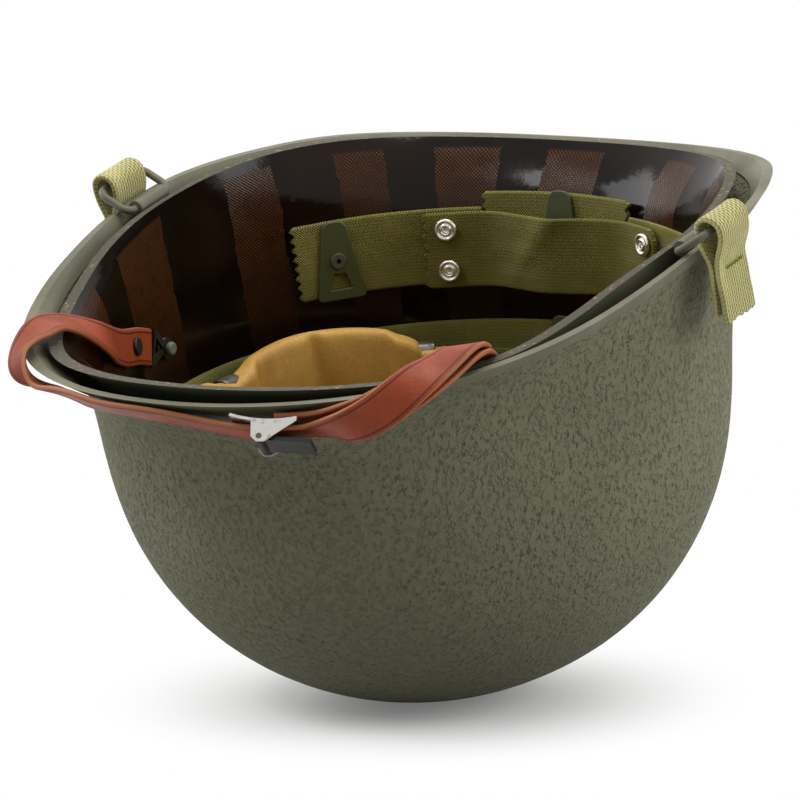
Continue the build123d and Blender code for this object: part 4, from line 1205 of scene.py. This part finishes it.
SHORT_ROUTE = (
    ((0.0397, -0.1407, 0.1215), (0.215, -0.397, -0.892)),
    ((0.0538, -0.1347, 0.1229), (0.291, -0.356, -0.888)),
    ((0.0685, -0.1339, 0.1245), (0.444, -0.823, -0.353)),
    ((0.0774, -0.1275, 0.1292), (0.488, -0.849, 0.200)),
    ((0.0843, -0.1185, 0.1352), (0.335, -0.598, 0.728)),
    ((0.0863, -0.1089, 0.1382), (0.055, -0.200, 0.970)),
    ((0.0868, -0.0994, 0.1406), (-0.205, 0.110, 0.970)),
) + tuple(((-x, y, z), (-nx, ny, nz)) for (x, y, z), (nx, ny, nz) in reversed(INSIDE_RUN))
STRAP_WIDTH = 0.0135
STRAP_THICK = 0.0019
for name, route, rows, seed in (("long", LONG_ROUTE, 520, 51), ("short", SHORT_ROUTE, 280, 52)):
    relief = smooth_noise(seed, 0.06, 0.0002)
    leather_strip = strip(route, STRAP_WIDTH, STRAP_THICK, rows, 18, edge=0.0006, relief=relief)
    solid_node = "strap_" + name
    piece("chin_" + solid_node, strap_leather, [leather_strip], "chin_strap", "strap_leather", solid_node)

# Floor, world and lamps
def camera_share(tree):
    """1 where the camera, a mirror or a glass looks, and 0 where the surface only lights another."""
    path = tree.nodes.new("ShaderNodeLightPath")
    seen = None
    for name in ("Is Camera Ray", "Is Glossy Ray", "Is Transmission Ray"):
        if seen is None:
            seen = path.outputs[name]
            continue
        node = tree.nodes.new("ShaderNodeMath")
        node.operation = "MAXIMUM"
        tree.links.new(seen, node.inputs[0])
        tree.links.new(path.outputs[name], node.inputs[1])
        seen = node.outputs[0]
    return seen


floor_mesh = bpy.data.meshes.new("floor")
reach = 12.0
floor_mesh.from_pydata(
    [(-reach, -reach, 0), (reach, -reach, 0), (reach, reach, 0), (-reach, reach, 0)], [], [(0, 1, 2, 3)]
)
floor_shade = Shade("floor", roughness=1.0, specular=0.0)
looking = camera_share(floor_shade.material.node_tree)
floor_shade.colour(floor_shade.mix(looking, (0.4, 0.4, 0.4, 1.0), (0.96, 0.96, 0.96, 1.0)))
# Painted shadow: the floor's white glow for the camera fades out within about 0.12 m of the helmet's contact,
# leaving a round darker patch there; within that patch the real cast shadow on the diffuse floor also shows.
flat = floor_shade.vector("MULTIPLY", floor_shade.place, (1.0, 1.0, 0.0)).outputs[0]
far = floor_shade.vector("LENGTH", flat).outputs["Value"]
glow_outside_painted_shadow = floor_shade.times(floor_shade.between(far, 0.035, 0.12, 0.15, 1.0), looking)
glow = floor_shade.nodes.new("ShaderNodeEmission")
blend = floor_shade.nodes.new("ShaderNodeMixShader")
floor_shade.feed(blend.inputs[0], glow_outside_painted_shadow)
floor_shade.links.new(floor_shade.surface.outputs[0], blend.inputs[1])
floor_shade.links.new(glow.outputs[0], blend.inputs[2])
floor_shade.links.new(blend.outputs[0], floor_shade.nodes["Material Output"].inputs["Surface"])
floor_mesh.materials.append(floor_shade.material)
floor = put("floor", floor_mesh)

# The studio is bright beside and behind the object and darker in front of it
world = bpy.data.worlds.new("studio")
bpy.context.scene.world = world
world.use_nodes = True
sky = world.node_tree
back = sky.nodes["Background"]
ray = sky.nodes.new("ShaderNodeTexCoord")
front = sky.nodes.new("ShaderNodeVectorMath")
front.operation = "DOT_PRODUCT"
sky.links.new(ray.outputs["Generated"], front.inputs[0])
front.inputs[1].default_value = (math.sin(AZIMUTH), -math.cos(AZIMUTH), 0.0)
dim = sky.nodes.new("ShaderNodeMapRange")
dim.interpolation_type = "SMOOTHSTEP"
for name, setting in (("From Min", -0.1), ("From Max", 0.9), ("To Min", 1.0), ("To Max", 0.14)):
    dim.inputs[name].default_value = setting
sky.links.new(front.outputs["Value"], dim.inputs["Value"])
level = sky.nodes.new("ShaderNodeMix")
level.data_type = "FLOAT"
sky.links.new(camera_share(sky), level.inputs[0])
sky.links.new(dim.outputs[0], level.inputs[2])
level.inputs[3].default_value = 1.0
back.inputs["Color"].default_value = (1.0, 1.0, 1.0, 1.0)
sky.links.new(level.outputs[0], back.inputs["Strength"])


def lamp(name, place, size, power, aim=(0.0, 0.0, 0.1)):
    light = bpy.data.lights.new(name, "AREA")
    light.shape = "RECTANGLE"
    light.size, light.size_y = size
    light.energy = power
    obj = put(name, light)
    obj.location = place
    obj.rotation_euler = (Vector(aim) - Vector(place)).to_track_quat("-Z", "Y").to_euler()


lamp("overhead", (0.0, 0.1, 1.6), (0.7, 0.7), 9.0)
lamp("key", (-0.7, -1.1, 1.5), (0.4, 0.4), 5.0)
lamp("right", (1.5, 0.5, 0.8), (0.8, 0.8), 11.0)
lamp("left", (-1.5, -0.4, 0.8), (0.8, 0.8), 9.0)
